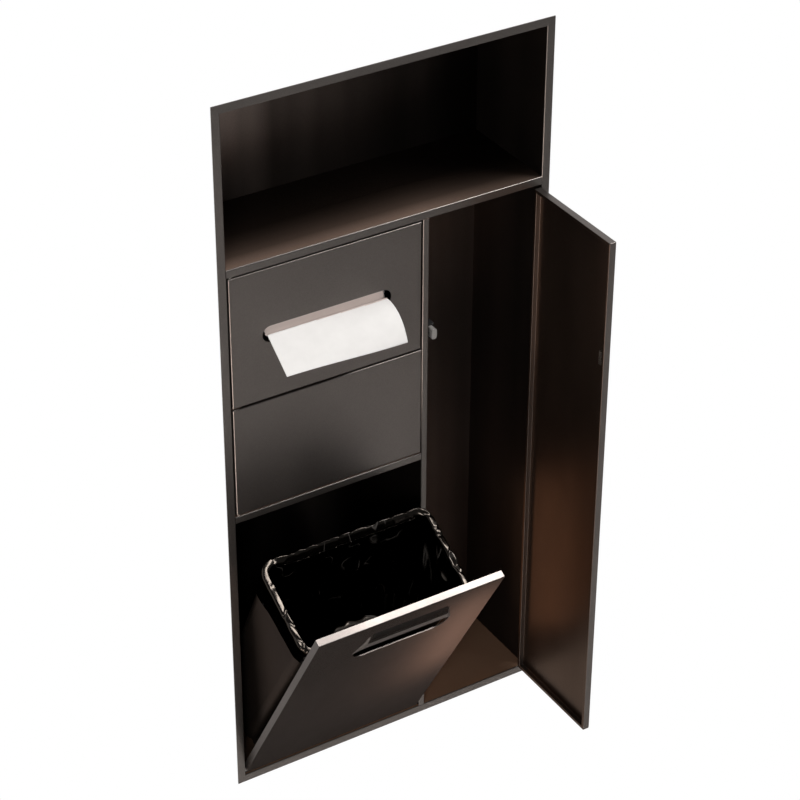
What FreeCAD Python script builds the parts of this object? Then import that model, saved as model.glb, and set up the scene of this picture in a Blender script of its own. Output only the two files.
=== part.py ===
import FreeCAD, Part
import math
import os

# Storage niche in folded gunmetal sheet, set into a bathroom wall: an open shelf on top, a paper
# towel door, a small storage door and a tilting bin on the left, and a tall door on the right.
# Millimetres, X to the right, Y into the wall, Z up. The origin is the middle of the back
# panel's rear face. Moving pieces are drawn shut, then turned to where they stand at rest.

# Housing
frame_width = 420.0
frame_height = 900.0
frame_depth = 136.0
housing_sheet = 1.2
face_width = 10.0
return_lip = 20.0
overrun = 5.0

# Layout of the bays, with heights as shares of the height inside the face
niche_height_share = 0.208
bin_bay_height_share = 0.42
storage_bay_height_share = 0.162
shelf_face = 10.0
left_bay_width = 244.0
divider_width = 8.0
rail_face = 9.0

# Doors
door_gap = 2.0
door_thickness = 9.0
door_sheet = 1.0
door_lip = 4.0
door_split = 2.5
storage_latch_gap = 0.8
door_fold = 1.2
seat_gap = 0.3

# Pivots of the small doors and the bin
pivot_inset_side = 4.0
pivot_inset_front = 4.0
bin_pivot_inset = 3.5
pivot_radius = 1.5
pivot_fit = 0.05
journal_length = 6.0
collar_radius = 2.4
rivet_head_radius = 2.2
rivet_head_height = 1.0
bush_size = 8.0
ear_width = 12.0
ear_relief = 2.0

# Middle shelf behind the doors
middle_shelf_setback = 12.0
middle_shelf_flange = 8.0

# Butt hinges of the tall door
hinge_proud = 0.5
hinge_length = 50.0
hinge_end_distance = 60.0
hinge_count = 3
knuckle_count = 5
knuckle_gap = 0.3
barrel_radius = 1.25
hinge_pin_radius = 0.7
hinge_fit = 0.05
leaf_thickness = 0.8
leaf_depth = 8.0
leaf_barrel_gap = 0.35
tall_door_rest_angle = 90.0

# Push latches on the divider
latch_width = 16.0
latch_height = 18.0
latch_length = 41.0
latch_setback = 14.0
latch_base = 2.0
latch_tail = 16.0
latch_cavity_length = 24.0
plunger_width = 6.8
plunger_height = 13.0
plunger_length = 25.0
plunger_fit = 0.3
plunger_round = 2.4
nose_setback = 5.0
nose_lip_gap = 1.6
latch_screw_pitch = 9.0
strike_width = 12.0
tissue_latch_drop = 17.0
tall_latch_drop = 155.0
screw_radius = 1.4
screw_head_radius = 2.5
screw_head_height = 1.4
screw_reach = 2.4
screw_fit = 0.1

# Paper towel door
slot_length = 162.0
slot_height = 20.0
slot_rise = 81.4
pocket_width = 200.0
pocket_depth = 60.0
pocket_top_drop = 29.5
pocket_floor_rise = 13.0
pocket_flange = 10.0
pocket_sheet = 1.0
towel_pack_side_gap = 3.0
towel_pack_front_gap = 5.0
towel_pack_top_drop = 17.0
towel_width = 150.0
towel_thickness = 0.5
towel_reach = 40.0
towel_drop = 31.0
towel_lead = 1.5
towel_above_slot_centre = 0.3
towel_bow_reach_share = 0.55
towel_bow_drop_share = 0.41

# Tilting bin
bin_lip = 12.0
bin_rest_angle = 30.0
pull_offset = 5.0
finger_hole_length = 124.0
finger_hole_height = 30.0
finger_hole_top_drop = 54.0
hood_top_drop = 22.0
hood_top_width = 100.0
hood_foot_width = 134.0
hood_lip_width = 107.0
hood_proud = 2.8
hood_lip_height = 11.0
hood_round = 9.0
ledge_width = 184.0
ledge_rise = 10.0
ledge_sheet = 1.2
ledge_back_lip = 8.0
ledge_leg_rise = 2.0
ledge_screw_pitch = 70.0
ledge_screw_count = 3
rest_bar_stay_gap = 0.5
rest_bar_height = 15.0
rest_bar_sheet = 1.2
rest_bar_foot = 11.0
rest_bar_side_inset = 2.0
stay_radius = 200.0
stay_width = 10.0
stay_sheet = 1.5
stay_side_gap = 5.0
stay_tail_width = 20.0
stay_tail_angle = 3.0
stay_foot_width = 8.0
stay_foot_height = 18.0
stay_post_radius = 2.0
stay_post_gap = 0.5
guide_plate_sheet = 1.5
guide_plate_margin = 4.0

# Bucket and its liner
bucket_top_drop = 60.5
bucket_left_gap = 6.0
bucket_stay_gap = 12.5
bucket_door_gap = 3.5
bucket_back_gap = 3.3
bucket_side_draft = 10.0
bucket_front_draft = 15.5
bucket_back_draft = 12.5
bucket_wall = 1.2
bucket_top_corner = 16.0
bucket_foot_corner = 14.0
rim_width = 2.0
rim_height = 5.0
liner_gap = 0.4
liner_thickness = 0.6
liner_skirt = 20.0

# Wall fixing holes in the back panel
fixing_radius = 2.5
fixing_spacing_x = 180.0
fixing_spacing_z = 550.0
fixing_side_inset = 32.0
fixing_floor_rise = 50.0

# Places worked out from the sizes
left = -frame_width / 2
right = frame_width / 2
bottom = -frame_height / 2
top = frame_height / 2
front = -frame_depth
inner_left = left + face_width
inner_right = right - face_width
inner_bottom = bottom + face_width
inner_top = top - face_width
inner_back = -housing_sheet
inner_height = inner_top - inner_bottom
shelf_top = inner_top - niche_height_share * inner_height
shelf_under = shelf_top - shelf_face
divider_left = inner_left + left_bay_width
divider_right = divider_left + divider_width
rail_under = inner_bottom + bin_bay_height_share * inner_height
rail_top = rail_under + rail_face
middle_level = rail_top + storage_bay_height_share * inner_height
door_back = front + door_thickness
door_inside = front + door_sheet
small_door_left = inner_left + door_gap
small_door_right = divider_left - door_gap
storage_door_right = divider_left - storage_latch_gap
tissue_door_bottom = middle_level + door_split / 2
tissue_door_top = shelf_under - door_gap
storage_door_bottom = rail_top + door_gap
storage_door_top = middle_level - door_split / 2
bin_door_bottom = inner_bottom + door_gap
bin_door_top = rail_under - door_gap
bay_centre = (small_door_left + small_door_right) / 2
pull_centre = bay_centre + pull_offset
tall_door_left = divider_right + door_gap
tall_door_right = inner_right - door_gap
tall_door_bottom = inner_bottom + door_gap
tall_door_top = shelf_under - door_gap
pivot_x = small_door_left + pivot_inset_side
pivot_y = front + pivot_inset_front
bin_pivot_y = front + bin_pivot_inset
bin_pivot_z = bin_door_bottom + bin_pivot_inset
hinge_x = inner_right - door_gap / 2
hinge_y = front - hinge_proud
slot_centre_z = tissue_door_bottom + slot_rise
tissue_latch_z = shelf_under - tissue_latch_drop
storage_latch_z = (rail_top + middle_level) / 2
tall_latch_z = shelf_under - tall_latch_drop
ledge_top = bin_door_bottom + ledge_rise + ledge_sheet
bucket_foot_z = ledge_top + seat_gap
bucket_top_z = rail_under - bucket_top_drop
bucket_height = bucket_top_z - bucket_foot_z
stay_strap_x = divider_left - stay_side_gap - stay_sheet
bucket_left = inner_left + bucket_left_gap + rim_width
bucket_right = stay_strap_x - bucket_stay_gap - rim_width
bucket_centre = (bucket_left + bucket_right) / 2
bucket_front = door_back + bucket_door_gap + rim_width
bucket_back = inner_back - bucket_back_gap - rim_width

along_x = FreeCAD.Vector(1, 0, 0)
along_y = FreeCAD.Vector(0, 1, 0)
along_z = FreeCAD.Vector(0, 0, 1)


def point(x, y, z):
    return FreeCAD.Vector(x, y, z)


def block(x0, x1, y0, y1, z0, z1):
    return Part.makeBox(x1 - x0, y1 - y0, z1 - z0, point(x0, y0, z0))


def rod(radius, start, end):
    path = end - start
    return Part.makeCylinder(radius, path.Length, start, path)


def joined(pieces):
    first = pieces[0]
    return first.fuse(pieces[1:]).removeSplitter()


def folded_sheet(hidden_path, thickness, travel):
    """A sheet folded along a path of its hidden face, extruded along the fold lines."""
    path = Part.makePolygon(hidden_path)
    return path.makeOffset2D(thickness, 0, True, True, False).extrude(travel)


def mitre(corners, travel):
    """The prism that keeps one side of a picture frame, cut at 45 degrees at both ends."""
    return Part.Face(Part.makePolygon(corners + corners[:1])).extrude(travel)


def stepped_shaft(start, direction, steps):
    """Coaxial cylinders end to end, each given as (radius, length)."""
    place = start
    cylinders = []
    for radius, length in steps:
        cylinders.append(Part.makeCylinder(radius, length, place, direction))
        place = place + direction * length
    return joined(cylinders)


def obround(centre_x, centre_z, length, height, y0, y1):
    """A slot with round ends, lying in the front plane and cut through along Y."""
    half = (length - height) / 2
    radius = height / 2
    middle = block(centre_x - half, centre_x + half, y0, y1, centre_z - radius, centre_z + radius)
    ends = [
        rod(radius, point(x, y0, centre_z), point(x, y1, centre_z))
        for x in (centre_x - half, centre_x + half)
    ]
    return joined([middle] + ends)


def rounded_rectangle(width, depth, x_centre, y_front, z, radius):
    x0 = x_centre - width / 2
    x1 = x_centre + width / 2
    y0 = y_front
    y1 = y_front + depth
    slant = radius * (1 - math.sqrt(2) / 2)
    lines = [
        ((x0 + radius, y0), (x1 - radius, y0)),
        ((x1, y0 + radius), (x1, y1 - radius)),
        ((x1 - radius, y1), (x0 + radius, y1)),
        ((x0, y1 - radius), (x0, y0 + radius)),
    ]
    arc_middles = [
        (x1 - slant, y0 + slant),
        (x1 - slant, y1 - slant),
        (x0 + slant, y1 - slant),
        (x0 + slant, y0 + slant),
    ]
    edges = []
    for number, (start, end) in enumerate(lines):
        following = lines[(number + 1) % len(lines)][0]
        edges.append(Part.makeLine(point(*start, z), point(*end, z)))
        arc = Part.Arc(point(*end, z), point(*arc_middles[number], z), point(*following, z))
        edges.append(arc.toShape())
    return Part.Wire(edges)


# Housing: four mitred sides, the back and the shelves

def side_panel(side):
    """Left (-1) or right (1) wall with its face flange, mitred at the corners."""
    outer = side * frame_width / 2
    hidden = outer - side * (face_width - housing_sheet)
    path = [
        point(outer, front + housing_sheet, bottom),
        point(hidden, front + housing_sheet, bottom),
        point(hidden, inner_back, bottom),
    ]
    sheet = folded_sheet(path, -side * housing_sheet, along_z * frame_height)
    inner = outer - side * face_width
    corners = [
        point(outer, front - overrun, bottom),
        point(inner, front - overrun, inner_bottom),
        point(inner, front - overrun, inner_top),
        point(outer, front - overrun, top),
    ]
    return sheet.common(mitre(corners, along_y * (frame_depth + overrun)))


def end_panel(side):
    """Bottom (-1) or top (1) wall with its face flange, mitred at the corners."""
    outer = side * frame_height / 2
    hidden = outer - side * (face_width - housing_sheet)
    path = [
        point(left, front + housing_sheet, outer),
        point(left, front + housing_sheet, hidden),
        point(left, inner_back, hidden),
    ]
    sheet = folded_sheet(path, side * housing_sheet, along_x * frame_width)
    inner = outer - side * face_width
    corners = [
        point(left, front - overrun, outer),
        point(inner_left, front - overrun, inner),
        point(inner_right, front - overrun, inner),
        point(right, front - overrun, outer),
    ]
    return sheet.common(mitre(corners, along_y * (frame_depth + overrun)))


def fixing_places():
    x0 = inner_left + fixing_side_inset
    z0 = inner_bottom + fixing_floor_rise
    return [(x, z) for x in (x0, x0 + fixing_spacing_x) for z in (z0, z0 + fixing_spacing_z)]


def back_panel():
    edge = housing_sheet
    panel = block(
        inner_left - edge, inner_right + edge, inner_back, 0, inner_bottom - edge, inner_top + edge
    )
    for x, z in fixing_places():
        panel = panel.cut(rod(fixing_radius, point(x, -overrun, z), point(x, overrun, z)))
    return panel


def box_shelf(x0, x1, top_z, under_z):
    """A full-depth shelf folded from one sheet, with a front face and a lip below."""
    path = [
        point(x0, inner_back - housing_sheet, under_z),
        point(x0, inner_back - housing_sheet, top_z - housing_sheet),
        point(x0, front + housing_sheet, top_z - housing_sheet),
        point(x0, front + housing_sheet, under_z + housing_sheet),
        point(x0, front + return_lip, under_z + housing_sheet),
    ]
    return folded_sheet(path, housing_sheet, along_x * (x1 - x0))


def niche_shelf():
    shelf = box_shelf(inner_left, inner_right, shelf_top, shelf_under)
    hole = rod(
        pivot_radius + pivot_fit,
        point(pivot_x, pivot_y, shelf_under - overrun),
        point(pivot_x, pivot_y, shelf_under + shelf_face / 2),
    )
    return shelf.cut(hole)


def bin_rail():
    rail = box_shelf(inner_left, divider_left, rail_top, rail_under)
    hole = rod(
        pivot_radius + pivot_fit,
        point(pivot_x, pivot_y, rail_top - rail_face / 2),
        point(pivot_x, pivot_y, rail_top + overrun),
    )
    return rail.cut(hole)


def middle_shelf():
    """The paper compartment's floor, with an ear that carries both doors' shared pivot."""
    top_z = middle_level + housing_sheet / 2
    under_z = middle_level - housing_sheet / 2
    shelf_front = front + middle_shelf_setback
    ear_right = inner_left + ear_width
    path = [
        point(ear_right + ear_relief, inner_back - housing_sheet, top_z - middle_shelf_flange),
        point(ear_right + ear_relief, inner_back - housing_sheet, under_z),
        point(ear_right + ear_relief, shelf_front + housing_sheet, under_z),
        point(ear_right + ear_relief, shelf_front + housing_sheet, top_z - middle_shelf_flange),
    ]
    plate = folded_sheet(path, housing_sheet, along_x * (divider_left - ear_right - ear_relief))
    side = block(
        inner_left, ear_right + ear_relief, shelf_front + housing_sheet, inner_back, under_z, top_z
    )
    ear = block(inner_left, ear_right, front + door_sheet, shelf_front + housing_sheet, under_z, top_z)
    hole = rod(
        pivot_radius + pivot_fit,
        point(pivot_x, pivot_y, middle_level - overrun),
        point(pivot_x, pivot_y, middle_level + overrun),
    )
    return joined([plate, side, ear]).cut(hole)


def latch_screw_places(z):
    screw_y = front + latch_setback + latch_length + latch_tail / 2
    return [(screw_y, z + side * latch_screw_pitch / 2) for side in (-1, 1)]


def divider():
    """A narrow box post between the bays, folded from one sheet and open at the back."""
    path = [
        point(divider_left + housing_sheet, inner_back, inner_bottom),
        point(divider_left + housing_sheet, front + housing_sheet, inner_bottom),
        point(divider_right - housing_sheet, front + housing_sheet, inner_bottom),
        point(divider_right - housing_sheet, inner_back, inner_bottom),
    ]
    height = shelf_top - housing_sheet - inner_bottom
    post = folded_sheet(path, housing_sheet, along_z * height)
    notch = block(
        divider_left - overrun, divider_right + overrun,
        front - overrun, front + return_lip, shelf_under, shelf_top,
    )
    back_notch = block(
        divider_left - overrun, divider_right + overrun,
        inner_back - housing_sheet, inner_back, shelf_under, shelf_top,
    )
    post = post.cut([notch, back_notch])
    pin_hole = rod(
        pivot_radius + pivot_fit,
        point(divider_left - overrun, bin_pivot_y, bin_pivot_z),
        point(divider_left + divider_width / 2, bin_pivot_y, bin_pivot_z),
    )
    post = post.cut(pin_hole)
    middle = (divider_left + divider_right) / 2
    for latch_z, outside in (
        (tissue_latch_z, divider_left - overrun),
        (storage_latch_z, divider_left - overrun),
        (tall_latch_z, divider_right + overrun),
    ):
        for y, z in latch_screw_places(latch_z):
            post = post.cut(rod(screw_radius + screw_fit, point(middle, y, z), point(outside, y, z)))
    return post


def left_panel_with_pin_hole():
    hole = rod(
        pivot_radius + pivot_fit,
        point(left - overrun, bin_pivot_y, bin_pivot_z),
        point(inner_left + overrun, bin_pivot_y, bin_pivot_z),
    )
    return side_panel(-1).cut(hole)


# Pivots

def pivot_steps(gap):
    """A pin set flush in its sheet: collar in the gap, journal in the door's bush."""
    return [
        (pivot_radius, housing_sheet),
        (collar_radius, gap - seat_gap),
        (pivot_radius, seat_gap + journal_length),
    ]


def riveted_pin(direction, place):
    """A small door's pin, with its rivet head behind the sheet."""
    start = place - direction * (housing_sheet + rivet_head_height)
    head = [(rivet_head_radius, rivet_head_height)]
    return stepped_shaft(start, direction, head + pivot_steps(door_gap))


def upper_pivot_pin():
    return riveted_pin(-along_z, point(pivot_x, pivot_y, shelf_under))


def lower_pivot_pin():
    return riveted_pin(along_z, point(pivot_x, pivot_y, rail_top))


def middle_pivot_pin():
    ear_top = middle_level + housing_sheet / 2
    ear_under = middle_level - housing_sheet / 2
    steps = [
        (pivot_radius, journal_length + seat_gap),
        (collar_radius, ear_under - storage_door_top - seat_gap),
        (pivot_radius, housing_sheet),
        (collar_radius, tissue_door_bottom - ear_top - seat_gap),
        (pivot_radius, journal_length + seat_gap),
    ]
    start = point(pivot_x, pivot_y, storage_door_top - journal_length)
    return stepped_shaft(start, along_z, steps)


def bin_pivot_pins():
    """Two flush pins, so that no head stands out into the wall beside the flange."""
    left_start = point(inner_left - housing_sheet, bin_pivot_y, bin_pivot_z)
    right_start = point(divider_left + housing_sheet, bin_pivot_y, bin_pivot_z)
    return Part.makeCompound([
        stepped_shaft(left_start, along_x, pivot_steps(door_gap)),
        stepped_shaft(right_start, -along_x, pivot_steps(door_gap)),
    ])


# Tall door's butt hinges

def hinge_bases():
    first = tall_door_bottom + hinge_end_distance
    last = tall_door_top - hinge_end_distance - hinge_length
    step = (last - first) / (hinge_count - 1)
    return [first + number * step for number in range(hinge_count)]


def knuckle_spans(base, offset):
    """The knuckles that one leaf owns: every second one, from the offset."""
    pitch = (hinge_length + knuckle_gap) / knuckle_count
    return [
        (base + number * pitch, base + (number + 1) * pitch - knuckle_gap)
        for number in range(offset, knuckle_count, 2)
    ]


def hinge_leaf(base, offset, leaf_left):
    leaf_right = leaf_left + leaf_thickness
    clear_y = hinge_y + barrel_radius + leaf_barrel_gap
    leaf = [block(leaf_left, leaf_right, clear_y, front + leaf_depth, base, base + hinge_length)]
    for z0, z1 in knuckle_spans(base, offset):
        web = block(leaf_left, leaf_right, hinge_y, clear_y, z0, z1)
        barrel = rod(barrel_radius, point(hinge_x, hinge_y, z0), point(hinge_x, hinge_y, z1))
        leaf = leaf + [web, barrel]
    bore = rod(
        hinge_pin_radius + hinge_fit,
        point(hinge_x, hinge_y, base - overrun),
        point(hinge_x, hinge_y, base + hinge_length + overrun),
    )
    return joined(leaf).cut(bore)


def frame_hinge_leaves():
    return Part.makeCompound(
        [hinge_leaf(base, 0, inner_right - leaf_thickness) for base in hinge_bases()]
    )


def tall_door_hinge_leaves():
    return Part.makeCompound([hinge_leaf(base, 1, tall_door_right) for base in hinge_bases()])


def hinge_pins():
    return Part.makeCompound([
        rod(
            hinge_pin_radius,
            point(hinge_x, hinge_y, base),
            point(hinge_x, hinge_y, base + hinge_length),
        )
        for base in hinge_bases()
    ])


# Push latches: a body on the divider and a sprung plunger that the door pushes in

def plunger_span(side, lip_edge):
    """The plunger's X range, just past the door's return lip, given as (low, high)."""
    near = lip_edge + side * nose_lip_gap
    far = near + side * plunger_width
    return (min(near, far), max(near, far))


def latch_plunger(span, z):
    x0, x1 = span
    nose_y = front + nose_setback
    plunger = block(
        x0, x1, nose_y, nose_y + plunger_length, z - plunger_height / 2, z + plunger_height / 2
    )
    long_edges = [
        edge for edge in plunger.Edges if abs(edge.tangentAt(edge.FirstParameter).y) > 1 / 2
    ]
    return plunger.makeFillet(plunger_round, long_edges)


def latch_body(cheek, side, span, z):
    x0, x1 = span
    far = cheek + side * latch_width
    base = cheek + side * latch_base
    body_front = front + latch_setback
    body_back = body_front + latch_length
    half = latch_height / 2
    body = block(min(cheek, far), max(cheek, far), body_front, body_back, z - half, z + half)
    foot_back = body_back + latch_tail
    foot = block(min(cheek, base), max(cheek, base), body_back, foot_back, z - half, z + half)
    cavity = block(
        x0 - plunger_fit, x1 + plunger_fit,
        body_front - overrun, body_front + latch_cavity_length,
        z - plunger_height / 2 - plunger_fit, z + plunger_height / 2 + plunger_fit,
    )
    latch = joined([body, foot]).cut(cavity)
    for y, screw_z in latch_screw_places(z):
        hole = rod(
            screw_radius + screw_fit, point(cheek - side * overrun, y, screw_z),
            point(far, y, screw_z),
        )
        latch = latch.cut(hole)
    return latch


def latch_screws():
    screws = []
    for cheek, side, z in (
        (divider_left, -1, tissue_latch_z),
        (divider_left, -1, storage_latch_z),
        (divider_right, 1, tall_latch_z),
    ):
        for y, screw_z in latch_screw_places(z):
            head = point(cheek + side * (latch_base + screw_head_height), y, screw_z)
            steps = [(screw_head_radius, screw_head_height), (screw_radius, latch_base + screw_reach)]
            screws.append(stepped_shaft(head, along_x * -side, steps))
    return Part.makeCompound(screws)


def strike(span, z):
    """A flat stop in the door's pan that meets the plunger's nose."""
    middle = (span[0] + span[1]) / 2
    return block(
        middle - strike_width / 2, middle + strike_width / 2,
        door_inside, front + nose_setback - seat_gap, z - latch_height / 2, z + latch_height / 2,
    )


tall_span = plunger_span(1, tall_door_left + door_lip)
tissue_span = plunger_span(-1, small_door_right - door_lip)
storage_span = plunger_span(-1, storage_door_right - door_lip)


# Doors

def door_pan(x0, x1, z0, z1, lip):
    """A folded pan, open behind, with a narrow lip turned in all round its back edge."""
    outer = block(x0, x1, front, door_back, z0, z1)
    face_edges = [edge for edge in outer.Edges if edge.BoundBox.YMax < front + door_sheet / 2]
    outer = outer.makeFillet(door_fold, face_edges)
    cavity = block(
        x0 + door_sheet, x1 - door_sheet, door_inside, door_back - door_sheet,
        z0 + door_sheet, z1 - door_sheet,
    )
    middle = front + door_thickness / 2
    mouth = block(x0 + lip, x1 - lip, middle, door_back + overrun, z0 + lip, z1 - lip)
    return outer.cut(cavity).cut(mouth)


def upright_pivot_holes(z0, z1):
    hole_radius = pivot_radius + seat_gap
    return [
        rod(hole_radius, point(pivot_x, pivot_y, z - overrun), point(pivot_x, pivot_y, z + overrun))
        for z in (z0, z1)
    ]


def corner_bushes(z0, z1):
    """Bored blocks in the pan's two hinge-side corners."""
    x0 = small_door_left + door_sheet
    low = z0 + door_sheet
    high = z1 - door_sheet
    bore = rod(pivot_radius + pivot_fit, point(pivot_x, pivot_y, z0), point(pivot_x, pivot_y, z1))
    bushes = [
        block(x0, x0 + bush_size, door_inside, door_back - door_sheet, z_low, z_low + bush_size).cut(bore)
        for z_low in (low, high - bush_size)
    ]
    return Part.makeCompound(bushes)


def tissue_door_panel():
    pan = door_pan(small_door_left, small_door_right, tissue_door_bottom, tissue_door_top, door_lip)
    slot = obround(bay_centre, slot_centre_z, slot_length, slot_height, front - overrun, door_back)
    return pan.cut([slot] + upright_pivot_holes(tissue_door_bottom, tissue_door_top))


def tissue_door_bushes():
    return corner_bushes(tissue_door_bottom, tissue_door_top)


def pocket_spans():
    half = pocket_width / 2
    floor_z = tissue_door_bottom + pocket_floor_rise
    return bay_centre - half, bay_centre + half, door_back + pocket_depth, floor_z


def tissue_pocket():
    """An open-topped tray behind the door, with flanges that lie on the door's inner face."""
    x0, x1, back, floor_z = pocket_spans()
    path = [
        point(x0 - pocket_flange, door_inside, floor_z),
        point(x0, door_inside, floor_z),
        point(x0, back, floor_z),
        point(x1, back, floor_z),
        point(x1, door_inside, floor_z),
        point(x1 + pocket_flange, door_inside, floor_z),
    ]
    pocket_height = tissue_door_top - pocket_top_drop - floor_z
    walls = folded_sheet(path, -pocket_sheet, along_z * pocket_height)
    edge = pocket_sheet
    floor = block(x0 - edge, x1 + edge, door_inside, back + edge, floor_z - edge, floor_z)
    return joined([walls, floor])


def tissue_pack():
    x0, x1, back, floor_z = pocket_spans()
    inset = pocket_sheet + towel_pack_side_gap
    pack_front = door_back + towel_pack_front_gap
    pack_top = tissue_door_top - pocket_top_drop - towel_pack_top_drop
    return block(x0 + inset, x1 - inset, pack_front, back - inset, floor_z + seat_gap, pack_top)


def tissue_sheet():
    """The leading sheet: through the slot, then bowed out and down in front of the door."""
    x0 = bay_centre - towel_width / 2
    level = slot_centre_z + towel_above_slot_centre
    start = point(x0, door_back + towel_pack_front_gap, level)
    fold = point(x0, front - towel_lead, level)
    bow_y = fold.y - towel_reach * towel_bow_reach_share
    bow = point(x0, bow_y, level - towel_drop * towel_bow_drop_share)
    end = point(x0, fold.y - towel_reach, level - towel_drop)
    path = Part.Wire([Part.makeLine(start, fold), Part.Arc(fold, bow, end).toShape()])
    profile = path.makeOffset2D(towel_thickness, 0, True, True, False)
    return profile.extrude(along_x * towel_width)


def storage_door_panel():
    pan = door_pan(small_door_left, storage_door_right, storage_door_bottom, storage_door_top, door_lip)
    return pan.cut(upright_pivot_holes(storage_door_bottom, storage_door_top))


def storage_door_bushes():
    return corner_bushes(storage_door_bottom, storage_door_top)


def tall_door_panel():
    return door_pan(tall_door_left, tall_door_right, tall_door_bottom, tall_door_top, door_lip)


# Tilting bin

def hood_wedge(inset, base_y, lip_y, hole_top):
    """A pressed hood: flush at its top and ends, standing out to a lip above the hole."""
    top_z = bin_door_top - hood_top_drop - inset
    foot_z = hole_top - finger_hole_height / 2
    sections = []
    for y, low_z, high_z, low_width, high_width in (
        (base_y, foot_z, top_z, hood_foot_width, hood_top_width),
        (lip_y, hole_top - inset, hole_top + hood_lip_height - inset, hood_lip_width, hood_lip_width),
    ):
        half_low = low_width / 2 - inset
        half_high = high_width / 2 - inset
        corners = [
            point(pull_centre - half_low, y, low_z),
            point(pull_centre + half_low, y, low_z),
            point(pull_centre + half_high, y, high_z),
            point(pull_centre - half_high, y, high_z),
        ]
        sections.append(Part.makePolygon(corners + corners[:1]))
    return Part.makeLoft(sections, True, True)


def bin_door_panel():
    """The bin's front pan, with a hood pressed out round the top of a long finger hole."""
    pan = door_pan(small_door_left, small_door_right, bin_door_bottom, bin_door_top, bin_lip)
    hole_top = bin_door_top - finger_hole_top_drop
    hole_centre = hole_top - finger_hole_height / 2
    hole = obround(
        pull_centre, hole_centre, finger_hole_length, finger_hole_height,
        front - overrun, front + door_thickness / 2,
    )
    outer = hood_wedge(0, front + door_sheet / 2, front - hood_proud, hole_top)
    ridges = [
        edge for edge in outer.Edges
        if edge.BoundBox.YMin < front and edge.BoundBox.ZMax > hole_top + hood_lip_height / 2
    ]
    outer = outer.makeFillet(hood_round, ridges)
    inner = hood_wedge(
        door_sheet, door_inside + door_sheet / 2, front - hood_proud + door_sheet, hole_top
    )
    pin_holes = [
        rod(
            pivot_radius + seat_gap,
            point(x - overrun, bin_pivot_y, bin_pivot_z),
            point(x + overrun, bin_pivot_y, bin_pivot_z),
        )
        for x in (small_door_left, small_door_right)
    ]
    screw_holes = [
        rod(screw_radius + screw_fit, point(x, front + door_thickness / 2, z), point(x, door_back, z))
        for x, z in ledge_screw_places()
    ]
    return pan.fuse(outer).removeSplitter().cut([inner, hole] + pin_holes + screw_holes)


def bin_door_bushes():
    bore = rod(
        pivot_radius + pivot_fit,
        point(small_door_left, bin_pivot_y, bin_pivot_z),
        point(small_door_right, bin_pivot_y, bin_pivot_z),
    )
    low = bin_door_bottom + door_sheet
    first = small_door_left + door_sheet
    last = small_door_right - door_sheet - bush_size
    bushes = [
        block(x0, x0 + bush_size, door_inside, door_back - door_sheet, low, low + bush_size).cut(bore)
        for x0 in (first, last)
    ]
    return Part.makeCompound(bushes)


def ledge_screw_places():
    offset = (ledge_screw_count - 1) / 2
    z = bin_door_bottom + (ledge_leg_rise + ledge_rise) / 2
    return [
        (bucket_centre + (number - offset) * ledge_screw_pitch, z)
        for number in range(ledge_screw_count)
    ]


def bin_ledge():
    """The folded ledge that the bucket stands on, screwed to the door's lower lip."""
    x0 = bucket_centre - ledge_width / 2
    under = ledge_top - ledge_sheet
    lip_y = bucket_back - bucket_back_draft + 2 * seat_gap
    leg_foot = bin_door_bottom + ledge_leg_rise
    leg = block(x0, x0 + ledge_width, door_back, door_back + ledge_sheet, leg_foot, ledge_top)
    plate = block(x0, x0 + ledge_width, door_back, lip_y + ledge_sheet, under, ledge_top)
    lip = block(x0, x0 + ledge_width, lip_y, lip_y + ledge_sheet, under, ledge_top + ledge_back_lip)
    ledge = joined([leg, plate, lip])
    for x, z in ledge_screw_places():
        ledge = ledge.cut(rod(screw_radius + screw_fit, point(x, front, z), point(x, lip_y, z)))
    return ledge


def bin_screws():
    screws = []
    for x, z in ledge_screw_places():
        head = point(x, door_back + ledge_sheet + screw_head_height, z)
        steps = [
            (screw_head_radius, screw_head_height),
            (screw_radius, ledge_sheet + door_sheet + screw_reach),
        ]
        screws.append(stepped_shaft(head, -along_y, steps))
    return Part.makeCompound(screws)


def bucket_front_at(z):
    """Where the bucket's sloping front wall stands at a height, shut."""
    return bucket_front + (bucket_top_z - z) / bucket_height * bucket_front_draft


def bucket_rest_bar():
    """A hat-shaped bar across the door's back that the bucket leans on when tipped out."""
    z0 = bin_pivot_z + stay_radius + stay_foot_height / 2 + rest_bar_stay_gap
    foot_left = small_door_left + rest_bar_side_inset
    foot_right = small_door_right - rest_bar_side_inset
    web_left = foot_left + rest_bar_foot
    web_right = foot_right - rest_bar_foot
    face_y = bucket_front_at(z0 + rest_bar_height) - seat_gap - rest_bar_sheet
    path = [
        point(foot_left, door_back, z0),
        point(web_left, door_back, z0),
        point(web_left, face_y, z0),
        point(web_right, face_y, z0),
        point(web_right, door_back, z0),
        point(foot_right, door_back, z0),
    ]
    return folded_sheet(path, -rest_bar_sheet, along_z * rest_bar_height)


def ring_sector(inner_radius, outer_radius, start_angle, end_angle, x, thickness):
    """A flat arc about the bin's pivot line, with angles in degrees up from +Y."""
    def rim_point(radius, angle):
        turn = math.radians(angle)
        return point(x, bin_pivot_y + radius * math.cos(turn), bin_pivot_z + radius * math.sin(turn))
    middle = (start_angle + end_angle) / 2
    edges = [
        Part.Arc(
            rim_point(outer_radius, start_angle), rim_point(outer_radius, middle),
            rim_point(outer_radius, end_angle),
        ).toShape(),
        Part.makeLine(rim_point(outer_radius, end_angle), rim_point(inner_radius, end_angle)),
        Part.Arc(
            rim_point(inner_radius, end_angle), rim_point(inner_radius, middle),
            rim_point(inner_radius, start_angle),
        ).toShape(),
        Part.makeLine(rim_point(inner_radius, start_angle), rim_point(outer_radius, start_angle)),
    ]
    return Part.Face(Part.Wire(edges)).extrude(along_x * thickness)


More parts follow.
